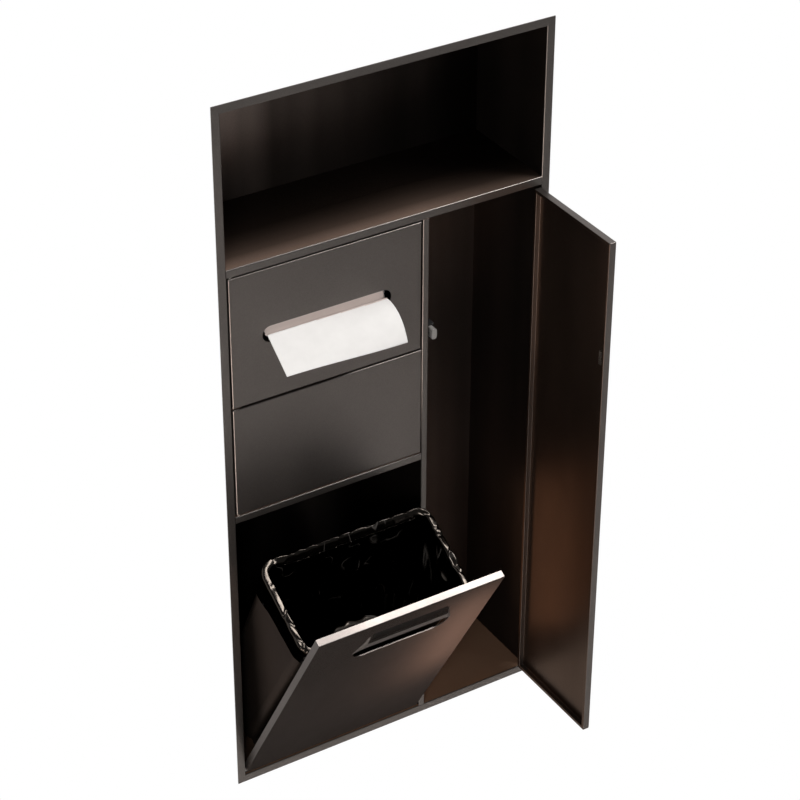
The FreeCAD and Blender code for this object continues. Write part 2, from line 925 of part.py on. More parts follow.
def stay_angles():
    """Where the strap meets the door, and where its tail begins and ends, shut."""
    door_angle = math.degrees(math.acos((door_back - bin_pivot_y) / stay_radius))
    post_half = math.degrees(math.asin(stay_post_radius / stay_radius))
    gap = math.degrees(math.asin(stay_post_gap / stay_radius))
    post_angle = door_angle - guide_clear_angle()
    tail_front = post_angle - post_half - gap - bin_rest_angle
    return door_angle, post_angle, tail_front


def guide_clear_angle():
    """How far inside the shut door's back the guide posts stand, as an angle."""
    clear = 2 * stay_post_radius + stay_sheet + seat_gap
    return math.degrees(math.asin(clear / stay_radius))


def bin_stay():
    """A curved strap about the pivot line that stops the bin when it is tipped out."""
    door_angle, _, tail_front = stay_angles()
    x0 = stay_strap_x
    half = stay_width / 2
    tail_half = stay_tail_width / 2
    strap = ring_sector(
        stay_radius - half, stay_radius + half, tail_front, door_angle + stay_tail_angle, x0, stay_sheet
    )
    in_front_of_door = block(
        x0 - overrun, x0 + overrun, front - overrun, door_back,
        bin_pivot_z, bin_pivot_z + stay_radius + stay_width,
    )
    tail = ring_sector(
        stay_radius - tail_half, stay_radius + tail_half,
        tail_front - stay_tail_angle, tail_front, x0, stay_sheet,
    )
    foot_z = bin_pivot_z + stay_radius
    foot = block(
        x0 + stay_sheet - stay_foot_width, x0 + stay_sheet, door_back, door_back + stay_sheet,
        foot_z - stay_foot_height / 2, foot_z + stay_foot_height / 2,
    )
    return joined([strap.cut(in_front_of_door), tail, foot])


def bin_stay_guide():
    """Two posts on the divider that the strap slides between and its tail stops against."""
    _, post_angle, _ = stay_angles()
    turn = math.radians(post_angle)
    post_end = stay_strap_x - stay_post_gap
    plate_face = divider_left - guide_plate_sheet
    pieces = []
    heights = []
    for side in (-1, 1):
        radius = stay_radius + side * (stay_width / 2 + stay_post_radius + seat_gap)
        y = bin_pivot_y + radius * math.cos(turn)
        z = bin_pivot_z + radius * math.sin(turn)
        pieces.append(rod(stay_post_radius, point(post_end, y, z), point(plate_face, y, z)))
        heights.append(z)
    margin = guide_plate_margin
    plate_y = bin_pivot_y + stay_radius * math.cos(turn)
    plate = block(
        plate_face, divider_left, plate_y - margin, plate_y + margin,
        heights[0] - margin, heights[1] + margin,
    )
    return joined([plate] + pieces)


# Bucket and liner

def tapered_solid(inset, z0, z1):
    """The bucket's form between two heights, drawn in all round by the inset."""
    wires = []
    for z in (z0, z1):
        drop = (bucket_top_z - z) / bucket_height
        width = bucket_right - bucket_left - 2 * drop * bucket_side_draft
        depth = bucket_back - bucket_front - drop * (bucket_front_draft + bucket_back_draft)
        corner = bucket_top_corner - drop * (bucket_top_corner - bucket_foot_corner)
        y_front = bucket_front_at(z) + inset
        wires.append(rounded_rectangle(
            width - 2 * inset, depth - 2 * inset, bucket_centre, y_front, z, corner - inset,
        ))
    return Part.makeLoft(wires, True, True)


def bucket():
    shell = tapered_solid(0, bucket_foot_z, bucket_top_z)
    rim = tapered_solid(-rim_width, bucket_top_z - rim_height, bucket_top_z)
    hollow = tapered_solid(bucket_wall, bucket_foot_z + bucket_wall, bucket_top_z + overrun)
    return shell.fuse(rim).removeSplitter().cut(hollow)


def bin_bag():
    """A thin liner in the bucket, turned over the rim and hanging a little outside."""
    lining_inset = bucket_wall + liner_gap
    skirt_inset = -rim_width - liner_gap
    top_z = bucket_top_z + liner_gap + liner_thickness
    lining = tapered_solid(lining_inset, bucket_foot_z + lining_inset, top_z)
    hollow = tapered_solid(
        lining_inset + liner_thickness, bucket_foot_z + lining_inset + liner_thickness, top_z + overrun
    )
    skirt = tapered_solid(skirt_inset - liner_thickness, bucket_top_z - liner_skirt, top_z)
    bucket_room = tapered_solid(skirt_inset, bucket_top_z - liner_skirt - overrun, bucket_top_z + liner_gap)
    return skirt.cut(bucket_room).fuse(lining).removeSplitter().cut(hollow)


# Rest pose

def swung_open(shape):
    """The tall door's pieces stand at right angles to the frame at rest."""
    turned = shape.copy()
    turned.rotate(point(hinge_x, hinge_y, 0), along_z, tall_door_rest_angle)
    return turned


def tipped_out(shape):
    """The bin's pieces lean out on the stay at rest."""
    turned = shape.copy()
    turned.rotate(point(0, bin_pivot_y, bin_pivot_z), along_x, bin_rest_angle)
    return turned


nodes = {
    "left_side_panel": left_panel_with_pin_hole(),
    "right_side_panel": side_panel(1),
    "bottom_panel": end_panel(-1),
    "top_panel": end_panel(1),
    "back_panel": back_panel(),
    "niche_shelf": niche_shelf(),
    "divider": divider(),
    "middle_shelf": middle_shelf(),
    "bin_rail": bin_rail(),
    "upper_pivot_pin": upper_pivot_pin(),
    "middle_pivot_pin": middle_pivot_pin(),
    "lower_pivot_pin": lower_pivot_pin(),
    "bin_pivot_pins": bin_pivot_pins(),
    "frame_hinge_leaves": frame_hinge_leaves(),
    "hinge_pins": hinge_pins(),
    "tall_latch_body": latch_body(divider_right, 1, tall_span, tall_latch_z),
    "tissue_latch_body": latch_body(divider_left, -1, tissue_span, tissue_latch_z),
    "storage_latch_body": latch_body(divider_left, -1, storage_span, storage_latch_z),
    "latch_screws": latch_screws(),
    "bin_stay_guide": bin_stay_guide(),
    "tall_latch_plunger": latch_plunger(tall_span, tall_latch_z),
    "tissue_latch_plunger": latch_plunger(tissue_span, tissue_latch_z),
    "storage_latch_plunger": latch_plunger(storage_span, storage_latch_z),
    "tall_door_panel": swung_open(tall_door_panel()),
    "tall_door_hinge_leaves": swung_open(tall_door_hinge_leaves()),
    "tall_door_strike": swung_open(strike(tall_span, tall_latch_z)),
    "tissue_door_panel": tissue_door_panel(),
    "tissue_door_bushes": tissue_door_bushes(),
    "tissue_door_strike": strike(tissue_span, tissue_latch_z),
    "tissue_pocket": tissue_pocket(),
    "tissue_pack": tissue_pack(),
    "tissue_sheet": tissue_sheet(),
    "storage_door_panel": storage_door_panel(),
    "storage_door_bushes": storage_door_bushes(),
    "storage_door_strike": strike(storage_span, storage_latch_z),
    "bin_door_panel": tipped_out(bin_door_panel()),
    "bin_door_bushes": tipped_out(bin_door_bushes()),
    "bin_ledge": tipped_out(bin_ledge()),
    "bin_screws": tipped_out(bin_screws()),
    "bucket_rest_bar": tipped_out(bucket_rest_bar()),
    "bin_stay": tipped_out(bin_stay()),
    "bucket": tipped_out(bucket()),
    "bin_bag": tipped_out(bin_bag()),
}

os.makedirs("parts", exist_ok=True)
for name, shape in nodes.items():
    shape.exportStep("parts/" + name + ".step")
    state = "valid" if shape.isValid() else "NOT VALID"
    print(name, len(shape.Solids), "solids", round(shape.Volume), "mm3", state)
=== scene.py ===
import math

import bmesh
import bpy
from mathutils import Matrix, Vector, noise


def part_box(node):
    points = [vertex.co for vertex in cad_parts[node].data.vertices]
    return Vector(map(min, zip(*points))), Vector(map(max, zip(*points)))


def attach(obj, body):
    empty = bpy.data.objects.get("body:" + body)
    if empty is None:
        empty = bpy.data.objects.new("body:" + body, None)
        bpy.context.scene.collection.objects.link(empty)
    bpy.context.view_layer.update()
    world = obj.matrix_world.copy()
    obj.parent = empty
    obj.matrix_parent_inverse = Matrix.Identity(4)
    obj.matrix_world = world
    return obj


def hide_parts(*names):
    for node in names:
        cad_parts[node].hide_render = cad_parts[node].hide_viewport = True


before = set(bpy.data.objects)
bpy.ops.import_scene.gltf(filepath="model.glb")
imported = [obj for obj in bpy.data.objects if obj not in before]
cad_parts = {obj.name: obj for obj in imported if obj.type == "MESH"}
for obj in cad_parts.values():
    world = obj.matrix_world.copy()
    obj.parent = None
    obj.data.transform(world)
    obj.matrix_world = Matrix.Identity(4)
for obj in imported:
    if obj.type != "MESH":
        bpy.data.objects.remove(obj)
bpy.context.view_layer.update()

mm = 0.001
frameCorner = Vector((-210.0, -136.0, -450.0))  # lower left front corner of the frame's face, in mm
binStance = {"pivot": (-78.0, -132.5, -434.5), "tilt": 30.0}  # in mm and degrees

pivotPoint = Vector(binStance["pivot"]) * mm
tippedOut = (
    Matrix.Translation(pivotPoint) @ Matrix.Rotation(math.radians(binStance["tilt"]), 4, "X")
    @ Matrix.Translation(-pivotPoint)
)


def place(x, y, z):
    # millimetres from the frame's lower left front corner, to metres in the part's frame
    return (Vector((x, y, z)) + frameCorner) * mm


def addObject(name, data):
    piece = bpy.data.objects.new(name, data)
    bpy.context.collection.objects.link(piece)
    return piece


# Node helpers, for materials and for Geometry Nodes

def setInputs(tree, node, inputs):
    # an input is joined where a socket is given, and set where a value is
    for key, value in inputs.items():
        if isinstance(value, bpy.types.NodeSocket):
            tree.links.new(value, node.inputs[key])
        else:
            node.inputs[key].default_value = value


def addNode(tree, kind, inputs=None, **settings):
    node = tree.nodes.new(kind)
    for key, value in settings.items():
        setattr(node, key, value)
    setInputs(tree, node, inputs or {})
    return node


def maths(tree, operation, a, b):
    return addNode(tree, "ShaderNodeMath", {0: a, 1: b}, operation=operation).outputs[0]


def combine(tree, **parts):
    return addNode(tree, "ShaderNodeCombineXYZ", parts).outputs[0]


def scaled(tree, vector, factor):
    return addNode(tree, "ShaderNodeVectorMath", {0: vector, "Scale": factor},
                   operation="SCALE").outputs["Vector"]


# Materials

noiseMiddle = (0.3, 0.7)  # nearly all of a noise lies between these


def newMaterial(name):
    mat = bpy.data.materials.new(name)
    mat.use_nodes = True
    return mat, mat.node_tree, mat.node_tree.nodes["Principled BSDF"]


def objectSpace(tree, stretch=(1, 1, 1), shift=(0, 0, 0)):
    coords = addNode(tree, "ShaderNodeTexCoord")
    mapping = addNode(tree, "ShaderNodeMapping", {
        "Vector": coords.outputs["Object"], "Location": shift, "Scale": stretch,
    })
    return mapping.outputs["Vector"]


def noiseNode(tree, vector, scale, detail=3.0, rough=0.55):
    return addNode(tree, "ShaderNodeTexNoise", {
        "Vector": vector, "Scale": scale, "Detail": detail, "Roughness": rough,
    }).outputs["Fac"]


def ramp(tree, value, stops):
    # stops are (position, colour), and a single number is a grey
    node = addNode(tree, "ShaderNodeValToRGB", {"Fac": value})
    band = node.color_ramp
    stops = [(spot, tone if isinstance(tone, tuple) else (tone,) * 3) for spot, tone in stops]
    for element, (spot, tone) in zip(band.elements, (stops[0], stops[-1])):
        element.position = spot
        element.color = (*tone, 1)
    for spot, tone in stops[1:-1]:
        band.elements.new(spot).color = (*tone, 1)
    return node.outputs["Color"]


def mottled(tree, value, tone, factors):
    # a tone that a noise takes from a darker to a lighter shade
    return ramp(tree, value, [(spot, tuple(c * factor for c in tone))
                              for spot, factor in zip(noiseMiddle, factors)])


def mapRange(tree, value, source, target=(0.0, 1.0)):
    return addNode(tree, "ShaderNodeMapRange", {
        "Value": value, "From Min": source[0], "From Max": source[1],
        "To Min": target[0], "To Max": target[1],
    }).outputs["Result"]


def spread(tree, value, amounts):
    # a noise stretched between two amounts
    return mapRange(tree, value, noiseMiddle, amounts)


def along(tree, vector, axis, reach):
    # 0 to 1 over a reach in metres along one of the object's axes
    apart = addNode(tree, "ShaderNodeSeparateXYZ", {"Vector": vector})
    return mapRange(tree, apart.outputs[axis], reach)


def multiply(tree, a, b, amount=1.0):
    return addNode(tree, "ShaderNodeMix", {"Factor": amount, "A": a, "B": b},
                   data_type="RGBA", blend_type="MULTIPLY").outputs["Result"]


def addBump(tree, shader, height, strength, distance, normal=None):
    bump = addNode(tree, "ShaderNodeBump", {
        "Height": height, "Strength": strength, "Distance": distance,
    })
    if normal:
        tree.links.new(normal, bump.inputs["Normal"])
    tree.links.new(bump.outputs["Normal"], shader.inputs["Normal"])
    return bump.outputs["Normal"]


gunmetalFinish = {
    "metallic": 0.92,
    "specular": 0.5,
    "grazing": 0.30,
    "cloudScale": 5.0,
    "cloudDetail": 5.0,
    "cloudShades": (0.93, 1.07),
    "grainScale": 1400.0,
    "grainDetail": 2.0,
    "grainShades": [(0.36, 0.92), (0.66, 1.10)],
    "grainBump": 0.35,
    "grainDepth": 0.00003,
    "smearScale": 20.0,
    "smearDetail": 4.0,
    "smearRough": 0.6,
    "smearStretch": (1, 1, 0.35),
    # upright streaks of painted reflection in the housing's inside
    "streakScale": 13.0,
    "streakDetail": 2.5,
    "streakRough": 0.5,
    "streakStretch": (1, 1, 0.03),
    "streakShift": (0.31, 0, 0),
    "streakEnds": (0.36, 0.64),
    # where the painted light and shade change in the housing, in metres along its axes
    "outerSkin": (-0.0003, -0.0008),  # nothing changes on the outer face of its back
    "housingWidth": (-0.21, 0.21),
    "nicheFoot": (0.245, 0.2565),
    # reach of the painted shadow behind the bucket: its height, and its side
    "binShadowTop": (-0.16, -0.08),
    "binShadowSide": (0.055, 0.045),
    # reach of the painted shade from the face to the back
    "recess": (-0.136, 0.0),
    "acrossLimit": 4.0,  # the most that a level in "across" may be
}

# tone, gloss from smooth to rough, and for the housing's inside: "streak" for upright streaks of
# painted reflection, "across" for painted light and shade from left to right in the niche, "low"
# for the painted shadow behind the bucket, and "deep" for painted shade from the face to the back
coats = {
    "frame": {"tone": (0.180, 0.165, 0.156), "gloss": (0.31, 0.37)},
    "inside": {"tone": (0.054, 0.044, 0.039), "gloss": (0.30, 0.40), "streak": 0.24},
    # the back panel: painted reflection lightens the niche's left, painted shade darkens its right
    # and the part behind the bucket
    "back": {
        "tone": (0.132, 0.108, 0.097), "gloss": (0.30, 0.40), "streak": 0.34, "low": 0.20,
        "across": [(0.0, 3.9), (0.14, 3.5), (0.34, 0.60), (0.46, 0.62), (0.60, 0.50), (0.90, 0.12)],
    },
    # tops that things stand on: a lighter, warmer copy of the coat as painted light, with painted
    # shade towards the right and the back of the niche
    "shelf": {
        "tone": (0.375, 0.262, 0.208), "gloss": (0.34, 0.44), "metallic": 0.50, "specular": 0.12,
        "across": [(0.0, 1.0), (0.60, 1.0), (0.80, 0.52), (1.0, 0.30)],
        "deep": [(0.0, 1.0), (0.08, 0.66), (0.17, 0.30), (0.26, 0.19), (0.36, 0.11), (0.48, 0.05)],
    },
    # the bay's floor: a lighter, warmer copy of the coat as painted light
    "bayFloorLit": {
        "tone": (0.290, 0.186, 0.126), "gloss": (0.34, 0.44), "metallic": 0.50, "specular": 0.2,
    },
    "door": {"tone": (0.178, 0.161, 0.152), "gloss": (0.30, 0.36)},
    "innerDoor": {"tone": (0.095, 0.068, 0.054), "gloss": (0.32, 0.40), "streak": 0.08},
    # the bin door's plain face: a darker copy of the door's coat, painted shade
    "binFaceShaded": {
        "tone": (0.055, 0.047, 0.0435), "gloss": (0.32, 0.40), "metallic": 0.35, "specular": 0.0,
    },
    # the slope of the bin door's hood: darker still, painted shade
    "hoodSlopeShaded": {"tone": (0.040, 0.034, 0.030), "gloss": (0.30, 0.36)},
    "bucket": {"tone": (0.058, 0.047, 0.041), "gloss": (0.34, 0.42)},
}


def gunmetal(name, coat):
    # satin coating: faint clouds in the tone, a fine sprayed grain, and wiped smears in the gloss
    g, look = gunmetalFinish, coats[coat]
    mat, tree, shader = newMaterial(name)
    vector = objectSpace(tree)
    clouds = noiseNode(tree, vector, g["cloudScale"], g["cloudDetail"])
    grain = noiseNode(tree, vector, g["grainScale"], g["grainDetail"])
    colour = multiply(tree, mottled(tree, clouds, look["tone"], g["cloudShades"]),
                      ramp(tree, grain, g["grainShades"]))
    inner = along(tree, vector, "Y", g["outerSkin"])
    # upright streaks of painted reflection, left off the back's outer face
    if "streak" in look:
        space = objectSpace(tree, g["streakStretch"], g["streakShift"])
        streaks = noiseNode(tree, space, g["streakScale"], g["streakDetail"], g["streakRough"])
        levels = (1 - look["streak"], 1 + look["streak"])
        colour = multiply(tree, colour, ramp(tree, streaks, zip(g["streakEnds"], levels)), inner)
    # painted light and shade from left to right, in the niche only
    if "across" in look:
        # a ramp only holds levels up to 1, so they are scaled back up after it
        most = g["acrossLimit"]
        side = along(tree, vector, "X", g["housingWidth"])
        fade = ramp(tree, side, [(spot, level / most) for spot, level in look["across"]])
        niche = along(tree, vector, "Z", g["nicheFoot"])
        colour = multiply(tree, colour, scaled(tree, fade, most), multiply(tree, niche, inner))
    # painted shadow behind the bucket, darkest at the bottom
    if "low" in look:
        height = along(tree, vector, "Z", g["binShadowTop"])
        shadow = ramp(tree, height, [(0.0, look["low"]), (1.0, 1.0)])
        behindBinShadow = along(tree, vector, "X", g["binShadowSide"])
        colour = multiply(tree, colour, shadow, multiply(tree, behindBinShadow, inner))
    # painted shade that darkens towards the back
    if "deep" in look:
        depth = along(tree, vector, "Y", g["recess"])
        colour = multiply(tree, colour, ramp(tree, depth, look["deep"]))
    smears = noiseNode(tree, objectSpace(tree, g["smearStretch"]),
                       g["smearScale"], g["smearDetail"], g["smearRough"])
    setInputs(tree, shader, {
        "Base Color": colour,
        "Roughness": spread(tree, smears, look["gloss"]),
        "Metallic": look.get("metallic", g["metallic"]),
        "Specular Tint": (*[g["grazing"]] * 3, 1),
        "Specular IOR Level": look.get("specular", g["specular"]),
    })
    addBump(tree, shader, grain, g["grainBump"], g["grainDepth"])
    return mat


steelFinish = {
    "tone": (0.56, 0.55, 0.53),
    "shades": (0.86, 1.06),
    "gloss": (0.20, 0.36),
    "lineScale": 420.0,
    "lineStretch": (1, 1, 14),
    "lineBump": 0.2,
    "lineDepth": 0.00003,
}


def steel(name):
    # turned or pressed bare steel with fine drawn lines
    s = steelFinish
    mat, tree, shader = newMaterial(name)
    lines = noiseNode(tree, objectSpace(tree, s["lineStretch"]), s["lineScale"])
    setInputs(tree, shader, {
        "Base Color": mottled(tree, lines, s["tone"], s["shades"]),
        "Roughness": spread(tree, lines, s["gloss"]),
        "Metallic": 1.0,
    })
    addBump(tree, shader, lines, s["lineBump"], s["lineDepth"])
    return mat


plasticFinish = {
    "shades": (0.90, 1.05),
    "patchScale": 45.0,
    "grainScale": 900.0,
    "grainDetail": 4.0,
    "grainBump": 0.25,
    "grainDepth": 0.00006,
}


def plastic(name, tone, gloss):
    # moulded plastic with a spark-eroded grain
    p = plasticFinish
    mat, tree, shader = newMaterial(name)
    vector = objectSpace(tree)
    grain = noiseNode(tree, vector, p["grainScale"], p["grainDetail"])
    patches = noiseNode(tree, vector, p["patchScale"])
    setInputs(tree, shader, {
        "Base Color": mottled(tree, patches, tone, p["shades"]),
        "Roughness": spread(tree, patches, gloss),
    })
    addBump(tree, shader, grain, p["grainBump"], p["grainDepth"])
    return mat


filmFinish = {
    "darkTone": (0.034, 0.030, 0.026),
    "lightTone": (0.046, 0.040, 0.035),
    # tone and metallic of the painted glints along crumples
    "glintTone": (0.10, 0.094, 0.089),
    "glintMetallic": 0.25,
    "gloss": (0.12, 0.20),
    "grazing": 0.04,
    "rippleScale": 70.0,
    "rippleDetail": 2.0,
    "rippleRough": 0.4,
    "rippleBump": 0.30,
    "rippleDepth": 0.0007,
    "dieScale": 700.0,
    "dieDetail": 2.0,
    "dieStretch": (1, 1, 0.06),
    "dieBump": 0.15,
    "dieDepth": 0.00003,
    "crumpleScale": 30.0,
    "crumpleDetail": 1.2,
    "crumpleRough": 0.5,
    "crumpleStretch": (1, 1, 0.30),
    "crumpleLine": [(0.47, 0.0), (0.495, 1.0), (0.505, 0.0)],
    "patchScale": 26.0,
    "patchDetail": 1.0,
    "patchShift": (0.4, 0, 0),
    "patchEdge": [(0.50, 0.0), (0.60, 1.0)],
}


def linerFilm():
    # thin black film: glossy, with faint die lines and shallow ripples between the modelled
    # creases, and in patches a few thin paler, duller lines along crumples that are painted glints
    f = filmFinish
    mat, tree, shader = newMaterial("linerFilm")
    ripple = noiseNode(tree, objectSpace(tree),
                       f["rippleScale"], f["rippleDetail"], f["rippleRough"])
    dieLines = noiseNode(tree, objectSpace(tree, f["dieStretch"]), f["dieScale"], f["dieDetail"])
    crumple = noiseNode(tree, objectSpace(tree, f["crumpleStretch"]),
                        f["crumpleScale"], f["crumpleDetail"], f["crumpleRough"])
    patches = noiseNode(tree, objectSpace(tree, shift=f["patchShift"]),
                        f["patchScale"], f["patchDetail"])
    # painted glints: thin paler, duller lines along crumples, in patches
    paintedGlints = multiply(tree, ramp(tree, crumple, f["crumpleLine"]),
                        ramp(tree, patches, f["patchEdge"]))
    blend = addNode(tree, "ShaderNodeMix", {
        "Factor": paintedGlints,
        "A": ramp(tree, dieLines, zip(noiseMiddle, (f["darkTone"], f["lightTone"]))),
        "B": (*f["glintTone"], 1),
    }, data_type="RGBA")
    setInputs(tree, shader, {
        "Base Color": blend.outputs["Result"],
        "Metallic": ramp(tree, paintedGlints, [(0.0, 1.0), (1.0, f["glintMetallic"])]),
        "Roughness": spread(tree, ripple, f["gloss"]),
        "Specular Tint": (*[f["grazing"]] * 3, 1),
    })
    rippled = addBump(tree, shader, ripple, f["rippleBump"], f["rippleDepth"])
    addBump(tree, shader, dieLines, f["dieBump"], f["dieDepth"], rippled)
    return mat


paperFinish = {
    "tone": (0.96, 0.957, 0.95),
    # a darker tone for the pressed border, painted shade inside the slot
    "borderShadeTone": (0.78, 0.68, 0.645),
    "shades": (0.955, 1.0),
    "gloss": (0.86, 0.98),
    "specular": 0.2,
    "cloudScale": 60.0,
    "fibreScale": 1300.0,
    "fibreDetail": 5.0,
    "fibreRough": 0.7,
    "fibreStretch": (1, 0.4, 1),
    "fibreBump": 0.5,
    "fibreDepth": 0.0001,
    "dotScale": 900.0,
    "dotScatter": 0.25,
    "dotBump": 0.8,
    "dotDepth": 0.0003,
}


def paper(name, tone, pressed=False):
    # soft tissue: matt, fibrous, faintly cloudy, and with small dots where it is pressed
    p = paperFinish
    mat, tree, shader = newMaterial(name)
    vector = objectSpace(tree)
    fibres = noiseNode(tree, objectSpace(tree, p["fibreStretch"]),
                       p["fibreScale"], p["fibreDetail"], p["fibreRough"])
    clouds = noiseNode(tree, vector, p["cloudScale"])
    setInputs(tree, shader, {
        "Base Color": mottled(tree, clouds, tone, p["shades"]),
        "Roughness": spread(tree, fibres, p["gloss"]),
        "Specular IOR Level": p["specular"],
    })
    normal = addBump(tree, shader, fibres, p["fibreBump"], p["fibreDepth"])
    if pressed:
        dots = addNode(tree, "ShaderNodeTexVoronoi", {
            "Vector": vector, "Scale": p["dotScale"], "Randomness": p["dotScatter"],
        })
        addBump(tree, shader, dots.outputs["Distance"], p["dotBump"], p["dotDepth"], normal)
    return mat


mats = {
    "frame": gunmetal("gunmetalFrame", "frame"),
    "inside": gunmetal("gunmetalInside", "inside"),
    "back": gunmetal("gunmetalBackPaintedLight", "back"),
    "door": gunmetal("gunmetalDoor", "door"),
    "shelf": gunmetal("gunmetalShelfLit", "shelf"),
    "bayFloorLit": gunmetal("gunmetalBayFloorLit", "bayFloorLit"),
    "innerDoor": gunmetal("gunmetalInnerDoor", "innerDoor"),
    "binFaceShaded": gunmetal("gunmetalBinFaceShaded", "binFaceShaded"),
    "hoodSlopeShaded": gunmetal("gunmetalHoodSlopeShaded", "hoodSlopeShaded"),
    "bucket": gunmetal("bucketCoat", "bucket"),
    "steel": steel("bareSteel"),
    "blackPlastic": plastic("latchPlastic", (0.020, 0.020, 0.021), (0.38, 0.50)),
    "palePlastic": plastic("plungerPlastic", (0.30, 0.29, 0.28), (0.26, 0.36)),
    "nylon": plastic("bushNylon", (0.74, 0.73, 0.70), (0.34, 0.46)),
    "film": linerFilm(),
    "paper": paper("paper", paperFinish["tone"]),
    # the pressed border's paper in a darker tone, painted shade inside the slot
    "paperShadedBorder": paper("paperShadedBorder", paperFinish["borderShadeTone"], pressed=True),
}
print("materials made:", len(mats))


# Folded sheet panels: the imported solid's form, its sheared edges broken so they catch the light

panelFinish = {
    "foldWidth": 0.0019,
    "sheetEdge": 0.24,  # a sheared edge's break, as a share of the fold's
    "segments": 3,
    "foldAngle": 28.0,
    "flatAngle": 0.5,
    "weld": 0.00001,
    "faceDepth": -0.1345,  # the housing's 10 mm face lies in front of this, and its inside behind
    "foldDepth": -0.1280,
    "square": 0.9,  # a face looks along an axis where its normal has more than this
    "doorInside": 0.2075,  # the open tall door's inner side lies left of this
    "doorSquare": 0.5,
    "binFront": -0.4,  # the shut bin door's front looks forwards by more than this
    "binPlane": -0.3,  # its plain face lies behind this, and the hood in front, in mm
    "hoodLipTop": 334.6,  # the pressed hood's lip starts here, in mm up the shut bin door
    "hoodCheek": 0.3,  # the hood's slope looks sideways by less than this
}
insideLooks = {  # for what slotFor calls 1 and 2
    "tall_door_panel": ("innerDoor", "innerDoor"),
    "bin_door_panel": ("binFaceShaded", "hoodSlopeShaded"),
    "bottom_panel": ("inside", "bayFloorLit"),
}
panels = {
    "left_side_panel": ("cabinet", "frame"), "right_side_panel": ("cabinet", "frame"),
    "bottom_panel": ("cabinet", "frame"), "top_panel": ("cabinet", "frame"),
    "niche_shelf": ("cabinet", "frame"), "divider": ("cabinet", "frame"),
    "bin_rail": ("cabinet", "frame"), "middle_shelf": ("cabinet", "inside"),
    "tall_door_panel": ("tall_door", "door"), "tissue_door_panel": ("tissue_door", "door"),
    "storage_door_panel": ("storage_door", "door"), "bin_door_panel": ("bin", "door"),
    "tissue_pocket": ("tissue_door", "inside"), "bin_ledge": ("bin", "inside"),
    "bucket_rest_bar": ("bin", "inside"), "bucket": ("bucket", "bucket"),
}


def slotFor(face, body, node):
    # 0 for the outer look, 1 for what lies behind the housing's face, 2 for tops that things
    # stand on, in a lighter, warmer coat that is painted light; on the bin's door 1 is its plain
    # face and 2 the slope of its hood, both in darker coats that are painted shade
    p = panelFinish
    if node == "bin_door_panel":
        centre = (tippedOut.inverted() @ face.center) / mm - frameCorner
        facing = tippedOut.inverted().to_3x3() @ face.normal
        if facing.y > p["binFront"]:
            return 0
        if centre.y > p["binPlane"]:
            return 1
        return 2 if centre.z > p["hoodLipTop"] and abs(facing.x) < p["hoodCheek"] else 0
    if body == "tall_door":
        return int(face.normal.x < -p["doorSquare"] and face.center.x < p["doorInside"])
    if body != "cabinet" or face.center.y < p["faceDepth"]:
        return 0
    return 2 if face.normal.z > p["square"] else 1


def markFolds(mesh):
    # wide rounding where the face folds back into the housing, a fine break on sheared edges
    p = panelFinish
    weights = mesh.attributes.new("bevel_weight_edge", "FLOAT", "EDGE")
    shape = bmesh.new()
    shape.from_mesh(mesh)
    values = []
    for edge in shape.edges:
        if edge.calc_face_angle(0.0) < math.radians(p["foldAngle"]):
            values.append(0.0)
            continue
        onFace = all(v.co.y < p["faceDepth"] for v in edge.verts)
        deep = all(max(v.co.y for v in face.verts) > p["foldDepth"]
                   or abs(face.normal.y) > p["square"] for face in edge.link_faces)
        values.append(1.0 if onFace and deep else p["sheetEdge"])
    shape.free()
    weights.data.foreach_set("value", values)


def finishPanel(node, body, look):
    p = panelFinish
    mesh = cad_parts[node].data.copy()
    mesh.name = node + "Dressed"
    shape = bmesh.new()
    shape.from_mesh(mesh)
    bmesh.ops.remove_doubles(shape, verts=shape.verts, dist=p["weld"])
    bmesh.ops.dissolve_limit(
        shape, angle_limit=math.radians(p["flatAngle"]), verts=shape.verts, edges=shape.edges
    )
    shape.to_mesh(mesh)
    shape.free()
    mesh.materials.clear()
    for finish in (look, *insideLooks.get(node, ("inside", "shelf"))):
        mesh.materials.append(mats[finish])
    for face in mesh.polygons:
        face.material_index = slotFor(face, body, node)
    mesh.shade_smooth()
    mesh.set_sharp_from_angle(angle=math.radians(p["foldAngle"]))
    markFolds(mesh)
    panel = addObject(node + "Dressed", mesh)
    bevel = panel.modifiers.new("edgeBreak", "BEVEL")
    bevel.width = p["foldWidth"]
    bevel.segments = p["segments"]
    bevel.limit_method = "WEIGHT"
    bevel.harden_normals = True
    weighted = panel.modifiers.new("flatFaces", "WEIGHTED_NORMAL")
    weighted.keep_sharp = True
    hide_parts(node)
    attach(panel, body)


for node, (body, look) in panels.items():
    finishPanel(node, body, look)
print("panels dressed:", len(panels))

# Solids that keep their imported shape
plainNodes = {
    "back_panel": "back", "frame_hinge_leaves": "frame", "tall_door_hinge_leaves": "door",
    "hinge_pins": "steel", "upper_pivot_pin": "steel", "middle_pivot_pin": "steel",
    "lower_pivot_pin": "steel", "bin_pivot_pins": "steel",
    "bin_stay": "steel", "bin_stay_guide": "steel",
    "tall_door_strike": "steel", "tissue_door_strike": "steel", "storage_door_strike": "steel",
    "tall_latch_body": "blackPlastic", "tissue_latch_body": "blackPlastic",
    "storage_latch_body": "blackPlastic", "tall_latch_plunger": "palePlastic",
    "tissue_latch_plunger": "palePlastic", "storage_latch_plunger": "palePlastic",
    "tissue_door_bushes": "nylon", "storage_door_bushes": "nylon", "bin_door_bushes": "nylon",
}
for node, look in plainNodes.items():
    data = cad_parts[node].data
    data.materials.clear()
    data.materials.append(mats[look])
print("packed solids given a finish:", len(plainNodes))


# Geometry Nodes helpers

